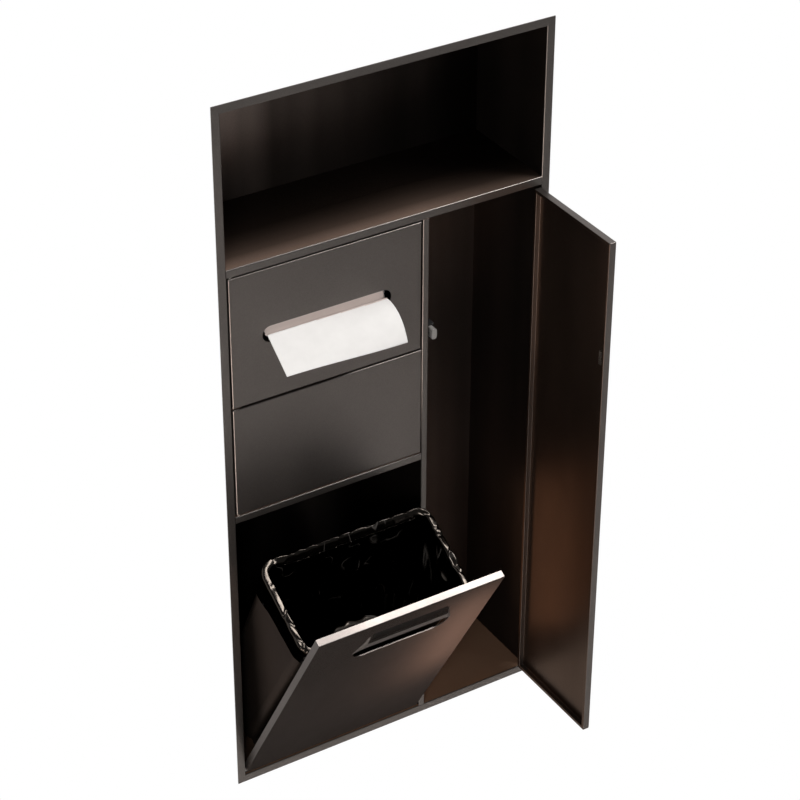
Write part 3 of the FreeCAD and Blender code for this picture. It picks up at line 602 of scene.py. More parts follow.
def geometryTree(name, inputs):
    tree = bpy.data.node_groups.new(name, "GeometryNodeTree")
    tree.interface.new_socket("Geometry", in_out="OUTPUT", socket_type="NodeSocketGeometry")
    tree.interface.new_socket("Geometry", in_out="INPUT", socket_type="NodeSocketGeometry")
    for label, kind in inputs:
        tree.interface.new_socket(label, in_out="INPUT", socket_type="NodeSocket" + kind)
    return tree, tree.nodes.new("NodeGroupInput").outputs


def endTree(tree, instances, finish):
    real = addNode(tree, "GeometryNodeRealizeInstances", {"Geometry": instances})
    dressed = addNode(tree, "GeometryNodeSetMaterial", {
        "Geometry": real.outputs["Geometry"], "Material": finish,
    })
    addNode(tree, "NodeGroupOutput", {"Geometry": dressed.outputs["Geometry"]})


def runTree(name, mesh, tree, values):
    # evaluates the tree once and keeps its result as a plain mesh object
    carrier = addObject(name + "Carrier", mesh)
    modifier = carrier.modifiers.new("build", "NODES")
    modifier.node_group = tree
    for item in tree.interface.items_tree:
        if item.in_out == "INPUT" and item.name in values:
            modifier[item.identifier] = values[item.name]
    bpy.context.view_layer.update()
    evaluated = carrier.evaluated_get(bpy.context.evaluated_depsgraph_get())
    result = bpy.data.meshes.new_from_object(evaluated)
    result.name = name
    bpy.data.objects.remove(carrier)
    return addObject(name, result)


# Screws: a raised head with a cross recess and a shank, set on marked points

screwSizes = {
    "headRadius": 0.0025, "headHeight": 0.0014, "headSides": 28,
    "crown": 0.72,  # the head's top, as a share of its foot
    "shankRadius": 0.0014, "shankLength": 0.0042, "shankSides": 20,
    "sink": -0.48,  # how far the shank's middle lies under the head, as a share of its length
    "recessWidth": 0.0007,
    "latch": {  # in mm, with each cheek's place, the side that its heads look to, and the height
        "cheeks": [(254.0, -1, 679.96), (254.0, -1, 459.88), (262.0, 1, 541.96)],
        "flange": 2.0, "apart": 9.0, "depth": 79.0,
    },
    "ledge": {"across": (55.5, 125.5, 195.5), "depth": 10.2, "height": 18.0},  # in mm, bin shut
}


def screwTree():
    s = screwSizes
    tree, given = geometryTree("screwSetter", [
        ("Head Radius", "Float"), ("Head Height", "Float"), ("Shank Radius", "Float"),
        ("Shank Length", "Float"), ("Recess Width", "Float"), ("Finish", "Material"),
    ])
    crown = maths(tree, "MULTIPLY", given["Head Radius"], s["crown"])
    head = addNode(tree, "GeometryNodeMeshCone", {
        "Vertices": s["headSides"], "Radius Top": crown, "Radius Bottom": given["Head Radius"],
        "Depth": given["Head Height"],
    }, fill_type="NGON")
    shank = addNode(tree, "GeometryNodeMeshCylinder", {
        "Vertices": s["shankSides"], "Radius": given["Shank Radius"],
        "Depth": given["Shank Length"],
    })
    sunk = addNode(tree, "GeometryNodeTransform", {
        "Geometry": shank.outputs["Mesh"],
        "Translation": combine(tree, Z=maths(tree, "MULTIPLY", given["Shank Length"], s["sink"])),
    })
    cut = addNode(tree, "GeometryNodeMeshBoolean", {"Mesh 1": head.outputs["Mesh"]},
                  operation="DIFFERENCE")
    for turn in (0.0, math.pi / 2):
        arm = addNode(tree, "GeometryNodeMeshCube", {
            "Size": combine(tree, X=crown, Y=given["Recess Width"], Z=given["Head Height"]),
        })
        turned = addNode(tree, "GeometryNodeTransform", {
            "Geometry": arm.outputs["Mesh"], "Rotation": (0, 0, turn),
            "Translation": combine(tree, Z=given["Head Height"]),
        })
        tree.links.new(turned.outputs["Geometry"], cut.inputs["Mesh 2"])
    screw = addNode(tree, "GeometryNodeJoinGeometry")
    for half in (cut.outputs["Mesh"], sunk.outputs["Geometry"]):
        tree.links.new(half, screw.inputs["Geometry"])
    facing = addNode(tree, "GeometryNodeInputNamedAttribute", {"Name": "facing"},
                     data_type="FLOAT_VECTOR")
    turn = addNode(tree, "FunctionNodeAlignRotationToVector",
                   {"Vector": facing.outputs["Attribute"]}, axis="Z")
    screws = addNode(tree, "GeometryNodeInstanceOnPoints", {
        "Points": given["Geometry"], "Instance": screw.outputs["Geometry"],
        "Rotation": turn.outputs["Rotation"],
    })
    endTree(tree, screws.outputs["Instances"], given["Finish"])
    return tree


def setScrews(name, marks, node, body):
    # marks are (seat, facing) pairs: the seat is under the head, and the head looks along facing
    s = screwSizes
    mesh = bpy.data.meshes.new(name + "Marks")
    mesh.from_pydata([seat for seat, _ in marks], [], [])
    attribute = mesh.attributes.new("facing", "FLOAT_VECTOR", "POINT")
    attribute.data.foreach_set("vector", [c for _, facing in marks for c in facing])
    screws = runTree(name, mesh, screwTree(), {
        "Head Radius": s["headRadius"], "Head Height": s["headHeight"],
        "Shank Radius": s["shankRadius"], "Shank Length": s["shankLength"],
        "Recess Width": s["recessWidth"], "Finish": mats["steel"],
    })
    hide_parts(node)
    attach(screws, body)


latch, ledge = screwSizes["latch"], screwSizes["ledge"]
latchMarks = [
    (place(cheek + side * latch["flange"], latch["depth"], height + end * latch["apart"] / 2),
     Vector((side, 0, 0)))
    for cheek, side, height in latch["cheeks"] for end in (-1, 1)
]
ledgeMarks = [
    (tippedOut @ place(x, ledge["depth"], ledge["height"]),
     tippedOut.to_3x3() @ Vector((0, 1, 0)))
    for x in ledge["across"]
]
setScrews("latchScrewSet", latchMarks, "latch_screws", "cabinet")
setScrews("ledgeScrewSet", ledgeMarks, "bin_screws", "bin")
print("screws set:", len(latchMarks) + len(ledgeMarks))


# Paper towels: a folded stack in the tray, and the leading towel pulled out through the slot

towelStack = {
    "layers": 44,
    "width": 0.142,
    "shift": 0.0105,
    "fullness": 0.86,  # a folded towel's height, as a share of its place in the stack
    "foldRadius": 0.0011,
    "foldPoints": 4,
    "room": 0.0012,  # left free at the tray's front and back
    "slip": 0.00072,
    "turn": 0.006,
    "seed": 7,
}


def towelTree():
    t = towelStack
    tree, given = geometryTree("towelStacker", [
        ("Layers", "Int"), ("Width", "Float"), ("Depth", "Float"), ("Rise", "Float"),
        ("Fold Radius", "Float"), ("Slip", "Float"), ("Turn", "Float"), ("Seed", "Int"),
        ("Finish", "Material"),
    ])
    pitch = maths(tree, "DIVIDE", given["Rise"], given["Layers"])
    section = addNode(tree, "GeometryNodeCurvePrimitiveQuadrilateral", {
        "Width": given["Depth"], "Height": maths(tree, "MULTIPLY", pitch, t["fullness"]),
    })
    rounded = addNode(tree, "GeometryNodeFilletCurve", {
        "Curve": section.outputs["Curve"], "Count": t["foldPoints"],
        "Radius": given["Fold Radius"], "Limit Radius": True,
    }, mode="POLY")
    start, end = (combine(tree, X=maths(tree, "MULTIPLY", given["Width"], share))
                  for share in (-0.5, 0.5))
    line = addNode(tree, "GeometryNodeCurvePrimitiveLine", {"Start": start, "End": end})
    folded = addNode(tree, "GeometryNodeCurveToMesh", {
        "Curve": line.outputs["Curve"], "Profile Curve": rounded.outputs["Curve"],
        "Fill Caps": True,
    })
    stack = addNode(tree, "GeometryNodeMeshLine", {
        "Count": given["Layers"], "Offset": combine(tree, Z=pitch),
    })
    slip = combine(tree, X=given["Slip"], Y=given["Slip"])
    shift = addNode(tree, "FunctionNodeRandomValue", {
        "Min": scaled(tree, slip, -1.0), "Max": slip, "Seed": given["Seed"],
    }, data_type="FLOAT_VECTOR")
    slipped = addNode(tree, "GeometryNodeSetPosition", {
        "Geometry": stack.outputs["Mesh"], "Offset": shift.outputs["Value"],
    })
    swing = addNode(tree, "FunctionNodeRandomValue", {
        "Min": maths(tree, "MULTIPLY", given["Turn"], -1.0), "Max": given["Turn"],
        "Seed": given["Seed"],
    }, data_type="FLOAT")
    towels = addNode(tree, "GeometryNodeInstanceOnPoints", {
        "Points": slipped.outputs["Geometry"], "Instance": folded.outputs["Mesh"],
        "Rotation": combine(tree, Z=swing.outputs["Value"]),
    })
    endTree(tree, towels.outputs["Instances"], given["Finish"])
    return tree


def stackTowels():
    t = towelStack
    low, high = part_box("tissue_pack")
    size = high - low
    mesh = bpy.data.meshes.new("towelStackSeat")
    mesh.from_pydata([(0, 0, 0)], [], [])
    towels = runTree("foldedTowels", mesh, towelTree(), {
        "Layers": t["layers"], "Width": t["width"], "Depth": size.y - 2 * t["room"],
        "Rise": size.z, "Fold Radius": t["foldRadius"], "Slip": t["slip"], "Turn": t["turn"],
        "Seed": t["seed"], "Finish": mats["paper"],
    })
    towels.data.transform(Matrix.Translation((
        (low.x + high.x) / 2 + t["shift"], (low.y + high.y) / 2,
        low.z + size.z / t["layers"] / 2,
    )))
    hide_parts("tissue_pack")
    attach(towels, "tissue_door")


stackTowels()
print("folded towels:", towelStack["layers"])


def thinSheet(name, shape, looks, thickness):
    # a smooth object from a laid-out sheet, thickened evenly to both sides
    data = bpy.data.meshes.new(name)
    shape.to_mesh(data)
    shape.free()
    for look in looks:
        data.materials.append(mats[look])
    data.shade_smooth()
    piece = addObject(name, data)
    solid = piece.modifiers.new("thickness", "SOLIDIFY")
    solid.thickness = thickness
    solid.offset = 0
    return piece


leadingTowel = {  # in mm, but for the thickness
    "width": 150.0,
    "centre": 132.0,
    "behind": [(9.0, 640.0), (8.4, 622.0), (7.0, 604.0), (0.4, 612.6)],  # side view behind the slot
    "leftSide": [(0.4, 612.6), (-13.6, 602.9), (-27.2, 593.0), (-41.2, 582.3)],
    "rightSide": [(0.4, 612.6), (-17.0, 614.5), (-36.0, 604.5), (-44.6, 578.9)],
    "columns": 150,
    "behindRows": 26,
    "rows": 60,
    "thickness": 0.0004,
    "border": (24, 29),  # the pressed border's last row, at the left and right edge; its darker tone is painted shade inside the slot
    "dotPitch": 2.6,
    "dotHeight": 0.14,
    "ripple": 1.05,
    "rippleAcross": 0.02,
    "rippleDown": 0.03,
    "seed": 4.2,
}


def bendPoint(corners, share):
    # point and outward normal of a cubic bend in the towel's side view
    a, b, c, d = (Vector(p) for p in corners)
    rest = 1 - share
    spot = a * rest**3 + 3 * b * rest**2 * share + 3 * c * rest * share**2 + d * share**3
    heading = 3 * (b - a) * rest**2 + 6 * (c - b) * rest * share + 3 * (d - c) * share**2
    heading.normalize()
    return spot, Vector((heading.y, -heading.x))


def towelRow(row, side):
    # side is 0 at the towel's left edge and 1 at its right
    t = leadingTowel
    if row <= t["behindRows"]:
        return bendPoint(t["behind"], row / t["behindRows"])
    mix = side * side * (3 - 2 * side)
    corners = [Vector(a).lerp(Vector(b), mix) for a, b in zip(t["leftSide"], t["rightSide"])]
    return bendPoint(corners, (row - t["behindRows"]) / t["rows"])


def towelRelief(x, run, free):
    # how far the paper stands off its bend: a loose ripple that grows outwards, and pressed dots
    t = leadingTowel
    spot = Vector((x * t["rippleAcross"], run * t["rippleDown"], t["seed"]))
    dots = (math.cos(math.pi * (x + run) / t["dotPitch"])
            * math.cos(math.pi * (x - run) / t["dotPitch"]))
    return noise.noise(spot) * t["ripple"] * free**2 + t["dotHeight"] * max(0.0, dots) ** 2


def hangTowel():
    t = leadingTowel
    shape = bmesh.new()
    grid = []
    runs = [0.0] * (t["columns"] + 1)
    before = None
    for row in range(t["behindRows"] + t["rows"] + 1):
        places = [towelRow(row, column / t["columns"]) for column in range(t["columns"] + 1)]
        if before:
            runs = [run + (now[0] - then[0]).length
                    for run, now, then in zip(runs, places, before)]
        before = places
        free = max(0.0, (row - t["behindRows"]) / t["rows"])
        line = []
        for column, (spot, normal) in enumerate(places):
            x = t["width"] * (column / t["columns"] - 0.5)
            spot = spot + normal * towelRelief(x, runs[column], free)
            line.append(shape.verts.new(place(t["centre"] + x, spot.x, spot.y)))
        grid.append(line)
    # rows up to the border, behind the slot, take the darker paper: painted shade
    first, last = t["border"]
    for row, (a, b) in enumerate(zip(grid, grid[1:])):
        for i in range(t["columns"]):
            face = shape.faces.new((a[i], b[i], b[i + 1], a[i + 1]))
            face.material_index = int(row < first + i / t["columns"] * (last - first))
    towel = thinSheet("leadingTowel", shape, ("paper", "paperShadedBorder"), t["thickness"])
    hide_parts("tissue_sheet")
    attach(towel, "tissue_door")


hangTowel()


# Bin liner: black film turned over the bucket's rim

liner = {  # in mm, but film, floorWave and floorRise in metres
    "left": 18.0, "right": 233.0, "front": 14.5, "back": 129.5,  # the bucket's outside at its top
    "top": 319.1, "foot": 25.5,
    "sideDraft": 10.0, "frontDraft": 15.5, "backDraft": 12.5,
    "topCorner": 16.0, "footCorner": 14.0, "leastCorner": 2.0,
    "roomX": (13.2, 239.0), "roomY": (10.4, 133.9),  # the film is kept within these
    "film": 0.00018,
    "seed": 3.7,
    "columns": 420,
    "wallRows": 96, "wallInset": 2.4, "wallFoot": 3.0, "wallTop": 1.0,
    "crowding": 1.7,  # the wall's rows lie closer together towards the rim
    "floorInset": 2.2, "floorRings": (0.8, 0.55, 0.3, 0.1), "floorWave": 60, "floorRise": 0.002,
    "rim": [(3.4, 1.0), (3.3, 3.6), (2.9, 4.9), (2.0, 5.38), (0.4, 5.46), (-1.3, 5.50),
            (-2.9, 5.46), (-4.1, 5.1), (-4.8, 3.6), (-5.0, 0.6)],  # (inset, rise) over the rim
    "backRim": [(6.8, -4.2), (5.6, -2.4), (4.3, -0.6), (3.0, 1.0), (1.6, 2.5), (0.2, 3.8),
                (-1.2, 4.8), (-2.0, 5.0), (-3.2, 3.2), (-4.6, 0.6)],  # slopes into the bag instead
    "backStarts": (108.0, 124.0), "backLeft": (28.0, 56.0), "backRight": (214.0, 228.0),
    "skirtRows": 26, "skirt": 29.0, "skirtDraw": 1.2,
    "skirtGather": 0.8, "skirtIn": 0.5, "skirtFlare": 0.5,
    "backDip": 11.0, "dipStart": 14.0, "dipReach": 116.0, "ragged": 2.5,
    "creaseWarp": (0.02, 0.9),  # scale and strength of the slow bends in every crease
    "creases": {  # scale across, scale down, seed, sharpness
        "gather": (0.030, 0.0, 21, 2.6),
        "fold": (0.026, 0.012, 9, 3.0),
        "pleat": (0.052, 0.030, 33, 3.4),
        "pucker": (0.055, 0.0, 85, 4.0),
    },
    "waves": {  # scale along x, y and z, and the seed
        "billow": (0.014, 0.014, 0.010, 0),
        "slow": (0.022, 0.022, 0.0, 0),
        "ragged": (0.03, 0.03, 0.0, 50),
        "lumps": (0.06, 0.085, 0.0, 70),
        "tilt": (0.05, 0.06, 0.0, 80),
        "loose": (0.035, 0.035, 0.0, 90),
        "rollHeight": (0.018, 0.018, 0.0, 95),
    },
    "slack": {  # inside the bag, with places up the wall as shares of its height
        "billow": 7.0, "fold": 4.5, "pleat": 3.0,
        "tightTop": 1.04,
        "gather": 0.8, "gatherStarts": (0.70, 0.95),
        "backLean": 4.2, "leanStarts": (0.86, 1.0),
        "frontFacing": (0.3, 0.9),
        # place, reach and sag of the slack rolls behind the door, and from where to where they
        # lie: two reaches to grow over and to fade over, and their size
        "frontRoll": (0.955, 24.0, 5.0),
        "spills": [(50.0, 74.0, 118.0, 140.0, 0.85), (30.0, 40.0, 44.0, 54.0, 0.45)],
        "spillWave": (0.09, 0.03, 61, 0.25),
        "wallRoll": (0.93, 11.0, 6.0),  # the same on the other walls
        "wallRollWander": 0.035,
        "rollFoot": 0.07, "rollHead": 0.035, "sagWidth": 0.014,
    },
    "roll": {  # over the rim, with a second amount that the lumpy right side adds
        "swell": 0.5, "lumps": (0.4, 0.7), "tilt": (0.9, 1.6), "lumpPinch": 0.6,
        "puckerDrop": 1.1, "puckerPinch": 1.2,
        "lumpyStarts": (205.0, 225.0),
        "highest": 1.1,
        "backCalm": 0.3,
    },
}


def linerLoop(inset, z):
    # evenly spaced (x, y, normal x, normal y) points round the bucket at a height
    b = liner
    drop = max(0.0, (b["top"] - z) / (b["top"] - b["foot"]))
    x0 = b["left"] + drop * b["sideDraft"] + inset
    x1 = b["right"] - drop * b["sideDraft"] - inset
    y0 = b["front"] + drop * b["frontDraft"] + inset
    y1 = b["back"] - drop * b["backDraft"] - inset
    r = max(b["leastCorner"], b["topCorner"] - drop * (b["topCorner"] - b["footCorner"]) - inset)
    straightX, straightY, turn = x1 - x0 - 2 * r, y1 - y0 - 2 * r, math.pi * r / 2
    runs = [straightX, turn, straightY, turn] * 2
    total = sum(runs)
    starts = [(x0 + r, y0), (x1, y0 + r), (x1 - r, y1), (x0, y1 - r)]
    centres = [(x1 - r, y0 + r), (x1 - r, y1 - r), (x0 + r, y1 - r), (x0 + r, y0 + r)]
    headings = [(1, 0), (0, 1), (-1, 0), (0, -1)]
    points = []
    for column in range(b["columns"]):
        run = total * column / b["columns"]
        index = 0
        while run > runs[index] and index < len(runs) - 1:
            run -= runs[index]
            index += 1
        side, corner = divmod(index, 2)
        hx, hy = headings[side]
        if corner:
            angle = run / r
            nx = hy * math.cos(angle) + hx * math.sin(angle)
            ny = -hx * math.cos(angle) + hy * math.sin(angle)
            cx, cy = centres[side]
            points.append((cx + nx * r, cy + ny * r, nx, ny))
        else:
            sx, sy = starts[side]
            points.append((sx + hx * run, sy + hy * run, hy, -hx))
    return points


def linerRows():
    # (inset, height, share of its part, part) from the bag's floor, up inside, over the rim, down
    b = liner
    low, high = b["foot"] + b["wallFoot"], b["top"] - b["wallTop"]
    rows = [(b["floorInset"], low, 0.0, "inside")]
    for step in range(1, b["wallRows"]):
        share = 1 - (1 - step / b["wallRows"]) ** b["crowding"]
        rows.append((b["wallInset"], low + share * (high - low), share, "inside"))
    last = len(b["rim"]) - 1
    for k, ((insetA, riseA), (insetB, riseB)) in enumerate(zip(b["rim"], b["rim"][1:])):
        for part in (0.0, 0.5):
            rows.append((insetA + part * (insetB - insetA),
                         b["top"] + riseA + part * (riseB - riseA), (k + part) / last, "rim"))
    inset, height = b["rim"][-1]
    for step in range(b["skirtRows"] + 1):
        share = step / b["skirtRows"]
        rows.append((inset + b["skirtDraw"] * share,
                     b["top"] + height - share * b["skirt"], share, "skirt"))
    return rows


def rise(value, low, high):
    t = min(1.0, max(0.0, (value - low) / (high - low)))
    return t * t * (3 - 2 * t)


def wave(kind, x, y, z=0.0):
    scaleX, scaleY, scaleZ, seed = liner["waves"][kind]
    return noise.noise(Vector((x * scaleX, y * scaleY, z * scaleZ + liner["seed"] + seed)))


def crease(kind, x, y, z):
    # sharp ridges between soft hollows, from 0 to 1
    across, down, seed, sharp = liner["creases"][kind]
    bend, strength = liner["creaseWarp"]
    seed += liner["seed"]
    warp = noise.noise(Vector((x * bend, y * bend, z * bend + seed))) * strength
    value = noise.noise(Vector((x * across + warp, y * across + warp, z * down + seed)))
    return 1.0 - min(1.0, abs(value) * sharp)


def backRimShift(share):
    # from the rim's own profile to the one along the back: how far outwards, and how far up
    b = liner
    at = share * (len(b["rim"]) - 1)
    k = min(int(at), len(b["rim"]) - 2)
    own, back = (Vector(p[k]).lerp(Vector(p[k + 1]), at - k) for p in (b["rim"], b["backRim"]))
    return own.x - back.x, back.y - own.y


def slackRoll(share, middle, reach, drop):
    # a roll of slack film on the inner wall: how far inwards, and its sag to lie flat on top
    s = liner["slack"]
    inward = reach * (rise(share, middle - s["rollFoot"], middle)
                      - rise(share, middle, middle + s["rollHead"]))
    return inward, -drop * math.exp(-(((share - middle) / s["sagWidth"] - 1.0) ** 2))


def insidePush(x, y, z, share, facing, gather, back):
    # slack film billows and creases inwards, and lies in rolls near the top
    s = liner["slack"]
    billow = 0.5 + 0.5 * wave("billow", x, y, z)
    slack = math.sin(math.pi * min(1.0, share * s["tightTop"]))
    front = rise(-facing, *s["frontFacing"])
    spill = sum(size * rise(x, x0, x1) * (1 - rise(x, x2, x3))
                for x0, x1, x2, x3, size in s["spills"])
    across, down, seed, amount = s["spillWave"]
    spill *= 1 + amount * noise.noise(Vector((x * across, liner["seed"] + seed, z * down)))
    loose = max(0.0, wave("loose", x, y))
    middle, reach, sag = s["frontRoll"]
    frontIn, frontSag = slackRoll(share, middle, reach * spill, sag * spill)
    middle, reach, sag = s["wallRoll"]
    middle += s["wallRollWander"] * wave("rollHeight", x, y)
    wallIn, wallSag = slackRoll(share, middle, reach * loose, sag * loose)
    inward = slack * (s["billow"] * billow + s["fold"] * crease("fold", x, y, z) ** 3
                      + s["pleat"] * crease("pleat", x, y, z) ** 3)
    inward += s["gather"] * rise(share, *s["gatherStarts"]) * gather**2
    inward += s["backLean"] * back * rise(share, *s["leanStarts"])
    inward += front * frontIn + (1 - front) * wallIn
    return -inward, front * frontSag + (1 - front) * wallSag


def rimPush(x, y, share):
    # the roll's slow swell, its lumps and puckers: how far they pinch it in and lift it
    w = liner["roll"]
    lumpy = rise(x, *w["lumpyStarts"])
    lumps = wave("lumps", x, y)
    pucker = crease("pucker", x, y, 0.0) ** 2
    lift = w["swell"] * wave("slow", x, y) - w["puckerDrop"] * pucker
    lift += (w["lumps"][0] + w["lumps"][1] * lumpy) * lumps
    lift += (w["tilt"][0] + w["tilt"][1] * lumpy) * wave("tilt", x, y) * (share - 0.5)
    return w["puckerPinch"] * pucker + w["lumpPinch"] * lumpy * abs(lumps), lift


def linerPush(x, y, z, share, part, facing):
    # how far the film stands off its row, outwards and upwards
    b, w = liner, liner["roll"]
    gather = crease("gather", x, y, b["top"])
    back = rise(y, *b["backStarts"]) * rise(x, *b["backLeft"]) * (1 - rise(x, *b["backRight"]))
    if part == "inside":
        return insidePush(x, y, z, share, facing, gather, back)
    if part == "rim":
        out, up = backRimShift(share)
        pinch, lift = rimPush(x, y, share)
        return back * out - pinch, back * up + min(w["highest"], lift * (1 - w["backCalm"] * back))
    pinch, lift = rimPush(x, y, 1.0)
    sag = max(0.0, (y - b["dipStart"]) / b["dipReach"])
    out = (b["skirtGather"] * gather**2 - b["skirtIn"]) * (1 + b["skirtFlare"] * share)
    down = share * (b["backDip"] * sag * sag + b["ragged"] * wave("ragged", x, y))
    return out - pinch * (1 - share), min(w["highest"], lift) * (1 - share) - down


def closeFloor(shape, outer):
    # rings that close the bag's floor, with a shallow wave
    b = liner
    count = len(outer)
    middle = sum((v.co for v in outer), Vector()) / count
    shrinking = outer
    for scale in b["floorRings"]:
        ring = []
        for v in outer:
            offset = (v.co - middle) * scale
            bump = noise.noise(offset * b["floorWave"] + Vector((0, 0, b["seed"])))
            bump *= b["floorRise"] * (1 - scale)
            ring.append(shape.verts.new(middle + offset + Vector((0, 0, bump))))
        for i in range(count):
            j = (i + 1) % count
            shape.faces.new((shrinking[i], shrinking[j], ring[j], ring[i]))
        shrinking = ring
    centre = shape.verts.new(sum((v.co for v in shrinking), Vector()) / count)
    for i in range(count):
        shape.faces.new((shrinking[i], shrinking[(i + 1) % count], centre))


def layLiner():
    b = liner
    shape = bmesh.new()
    rings = []
    for inset, z, share, part in linerRows():
        ring = []
        for x, y, nx, ny in linerLoop(inset, z):
            push, lift = linerPush(x, y, z, share, part, ny)
            px = min(max(x + nx * push, b["roomX"][0]), b["roomX"][1])
            py = min(max(y + ny * push, b["roomY"][0]), b["roomY"][1])
            ring.append(shape.verts.new(tippedOut @ place(px, py, z + lift)))
        rings.append(ring)
    count = b["columns"]
    for lower, upper in zip(rings, rings[1:]):
        for i in range(count):
            j = (i + 1) % count
            shape.faces.new((lower[i], upper[i], upper[j], lower[j]))
    closeFloor(shape, rings[0])
    bmesh.ops.recalc_face_normals(shape, faces=shape.faces)
    bag = thinSheet("binLiner", shape, ("film",), b["film"])
    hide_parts("bin_bag")
    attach(bag, "bucket")


layLiner()
print("bin liner laid")


# Studio: a white wall round the frame, a pale floor, soft lamps and the camera

studio = {
    "wallY": -0.13455,
    "cutout": (-0.2035, 0.2035, -0.4435, 0.4435),
    "wallReach": (-2.2, 2.2, -0.95, 1.9),
    "floorDepth": 3.6,
    "wallColour": (0.86, 0.86, 0.85),
    "floorColour": (0.80, 0.79, 0.78),
    "floorRoughness": 0.8,
    "worldColour": (0.16, 0.16, 0.16),
}


def backdropMaterial():
    # white where it is looked at or mirrored, plain paint for the light that falls on it, and
    # nothing from behind, so that the housing's outside shows there
    mat = bpy.data.materials.new("wallPaint")
    mat.use_nodes = True
    tree = mat.node_tree
    tree.nodes.clear()
    ray = addNode(tree, "ShaderNodeLightPath").outputs
    seen = maths(tree, "MAXIMUM", ray["Is Camera Ray"], ray["Is Glossy Ray"])
    seen = maths(tree, "MAXIMUM", seen, ray["Is Transmission Ray"])
    paint = addNode(tree, "ShaderNodeBsdfDiffuse", {"Color": (*studio["wallColour"], 1)})
    white = addNode(tree, "ShaderNodeEmission", {"Strength": 1.0})
    front = addNode(tree, "ShaderNodeMixShader", {
        "Fac": seen, 1: paint.outputs[0], 2: white.outputs[0],
    })
    clear = addNode(tree, "ShaderNodeBsdfTransparent")
    side = addNode(tree, "ShaderNodeNewGeometry")
    both = addNode(tree, "ShaderNodeMixShader", {
        "Fac": side.outputs["Backfacing"], 1: front.outputs[0], 2: clear.outputs[0],
    })
    addNode(tree, "ShaderNodeOutputMaterial", {"Surface": both.outputs[0]})
    return mat


def addBackdrop(name, points, faces, material):
    mesh = bpy.data.meshes.new(name)
    mesh.from_pydata(points, [], faces)
    mesh.materials.append(material)
    backdrop = addObject(name, mesh)


def buildWall():
    x0, x1, z0, z1 = studio["wallReach"]
    a0, a1, b0, b1 = studio["cutout"]
    y = studio["wallY"]
    outer = [(x0, y, z0), (x1, y, z0), (x1, y, z1), (x0, y, z1)]
    inner = [(a0, y, b0), (a1, y, b0), (a1, y, b1), (a0, y, b1)]
    faces = [(i, (i + 1) % 4, 4 + (i + 1) % 4, 4 + i) for i in range(4)]
    addBackdrop("wall", outer + inner, faces, backdropMaterial())


def buildFloor():
    x0, x1, z, _ = studio["wallReach"]
    depth = studio["floorDepth"]
    mat, tree, shader = newMaterial("floorPaint")
    setInputs(tree, shader, {
        "Base Color": (*studio["floorColour"], 1), "Roughness": studio["floorRoughness"],
    })
    corners = [(x0, -depth, z), (x1, -depth, z), (x1, depth, z), (x0, depth, z)]
    addBackdrop("floor", corners, [(0, 1, 2, 3)], mat)


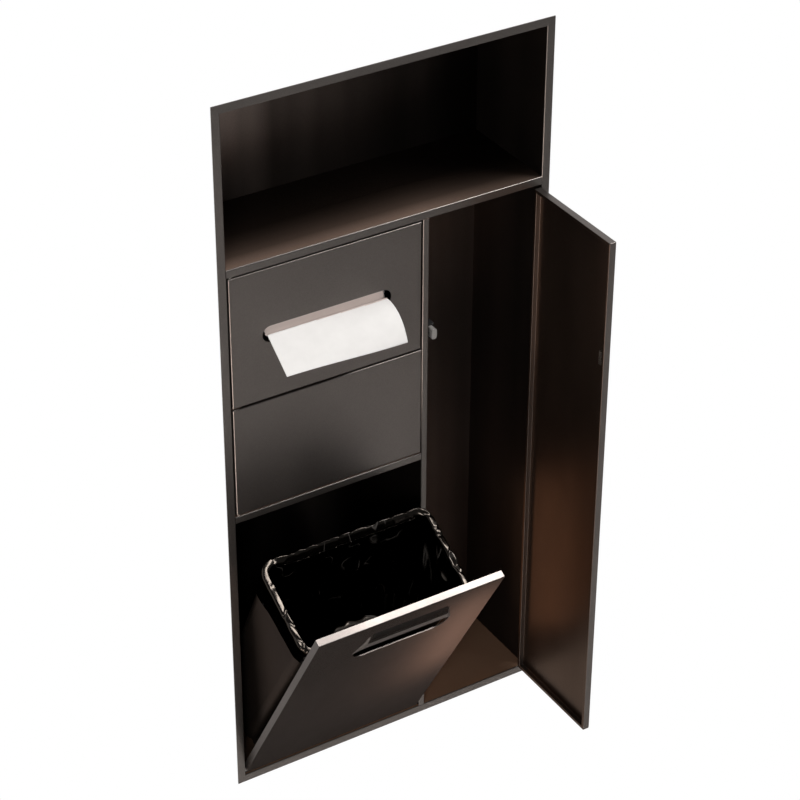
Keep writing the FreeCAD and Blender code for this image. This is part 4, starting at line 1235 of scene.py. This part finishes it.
# a sheen lamp only shows in the coating's gloss, and a wash lamp only lights what isn't mirrored
lamps = {
    "keyLamp": {
        "spot": (-1.7, -2.2, 0.85), "size": (0.7, 0.7), "power": 30.0, "colour": (1.0, 0.96, 0.92),
    },
    "topLamp": {
        "spot": (1.0, -0.60, 1.75), "size": (0.64, 0.64), "power": 26.0,
        "colour": (1.0, 0.97, 0.95),
    },
    "rearLamp": {
        "spot": (0.6, 2.2, 1.2), "size": (1.8, 1.8), "power": 30.0, "colour": (1.0, 0.99, 0.98),
    },
    "lowLeft": {
        "spot": (-1.05, -1.05, -0.78), "size": (0.9, 0.6), "power": 16.0,
        "colour": (1.0, 0.84, 0.74), "kind": "sheen",
    },
    "bayGlow": {
        "spot": (0.098, -0.075, -0.33), "aim": (0.207, -0.25, -0.22), "size": (0.06, 0.20),
        "power": 0.042, "colour": (1.0, 0.58, 0.36), "kind": "sheen",
    },
    "doorGlow": {
        "spot": (0.023, -0.306, -0.262), "aim": (0.023, -0.254, -0.232), "size": (0.03, 0.20),
        "power": 0.32, "colour": (1.0, 0.63, 0.47), "kind": "wash",
    },
}
plainAim = (0.0, -0.1, 0.0)


def addLamp(name, settings):
    data = bpy.data.lights.new(name, "AREA")
    data.shape = "RECTANGLE"
    data.size, data.size_y = settings["size"]
    data.energy = settings["power"]
    data.color = settings["colour"]
    lamp = addObject(name, data)
    spot, aim = Vector(settings["spot"]), Vector(settings.get("aim", plainAim))
    lamp.location = spot
    lamp.rotation_euler = (aim - spot).to_track_quat("-Z", "Y").to_euler()
    lamp.visible_camera = False
    lamp.visible_diffuse = settings.get("kind") != "sheen"
    lamp.visible_glossy = settings.get("kind") != "wash"


cameraView = {
    "spot": (-1.2642, -2.2010, 1.6169),
    "yaw": 31.773,
    "pitch": 33.282,
    "roll": 0.223,
    "lens": 115.38,
    "sensor": 36.0,
    "nearest": 0.05,
    "farthest": 50.0,
}


def addCamera():
    c = cameraView
    yaw, pitch, roll = (math.radians(c[key]) for key in ("yaw", "pitch", "roll"))
    forward = Vector((math.sin(yaw) * math.cos(pitch), math.cos(yaw) * math.cos(pitch),
                      -math.sin(pitch)))
    right = Vector((math.cos(yaw), -math.sin(yaw), 0.0))
    up = right.cross(forward)
    turnedRight = math.cos(roll) * right + math.sin(roll) * up
    turnedUp = math.cos(roll) * up - math.sin(roll) * right
    data = bpy.data.cameras.new("photoCamera")
    data.lens = c["lens"]
    data.sensor_width = c["sensor"]
    data.clip_start = c["nearest"]
    data.clip_end = c["farthest"]
    camera = addObject("photoCamera", data)
    turn = Matrix((turnedRight, turnedUp, -forward)).transposed()
    camera.matrix_world = Matrix.Translation(c["spot"]) @ turn.to_4x4()
    bpy.context.scene.camera = camera


buildWall()
buildFloor()
for name, settings in lamps.items():
    addLamp(name, settings)

world = bpy.data.worlds.new("studioWorld")
bpy.context.scene.world = world
world.use_nodes = True
setInputs(world.node_tree, world.node_tree.nodes["Background"], {
    "Color": (*studio["worldColour"], 1), "Strength": 1.0,
})

addCamera()
bpy.context.scene.view_settings.view_transform = "Standard"
print("studio ready")
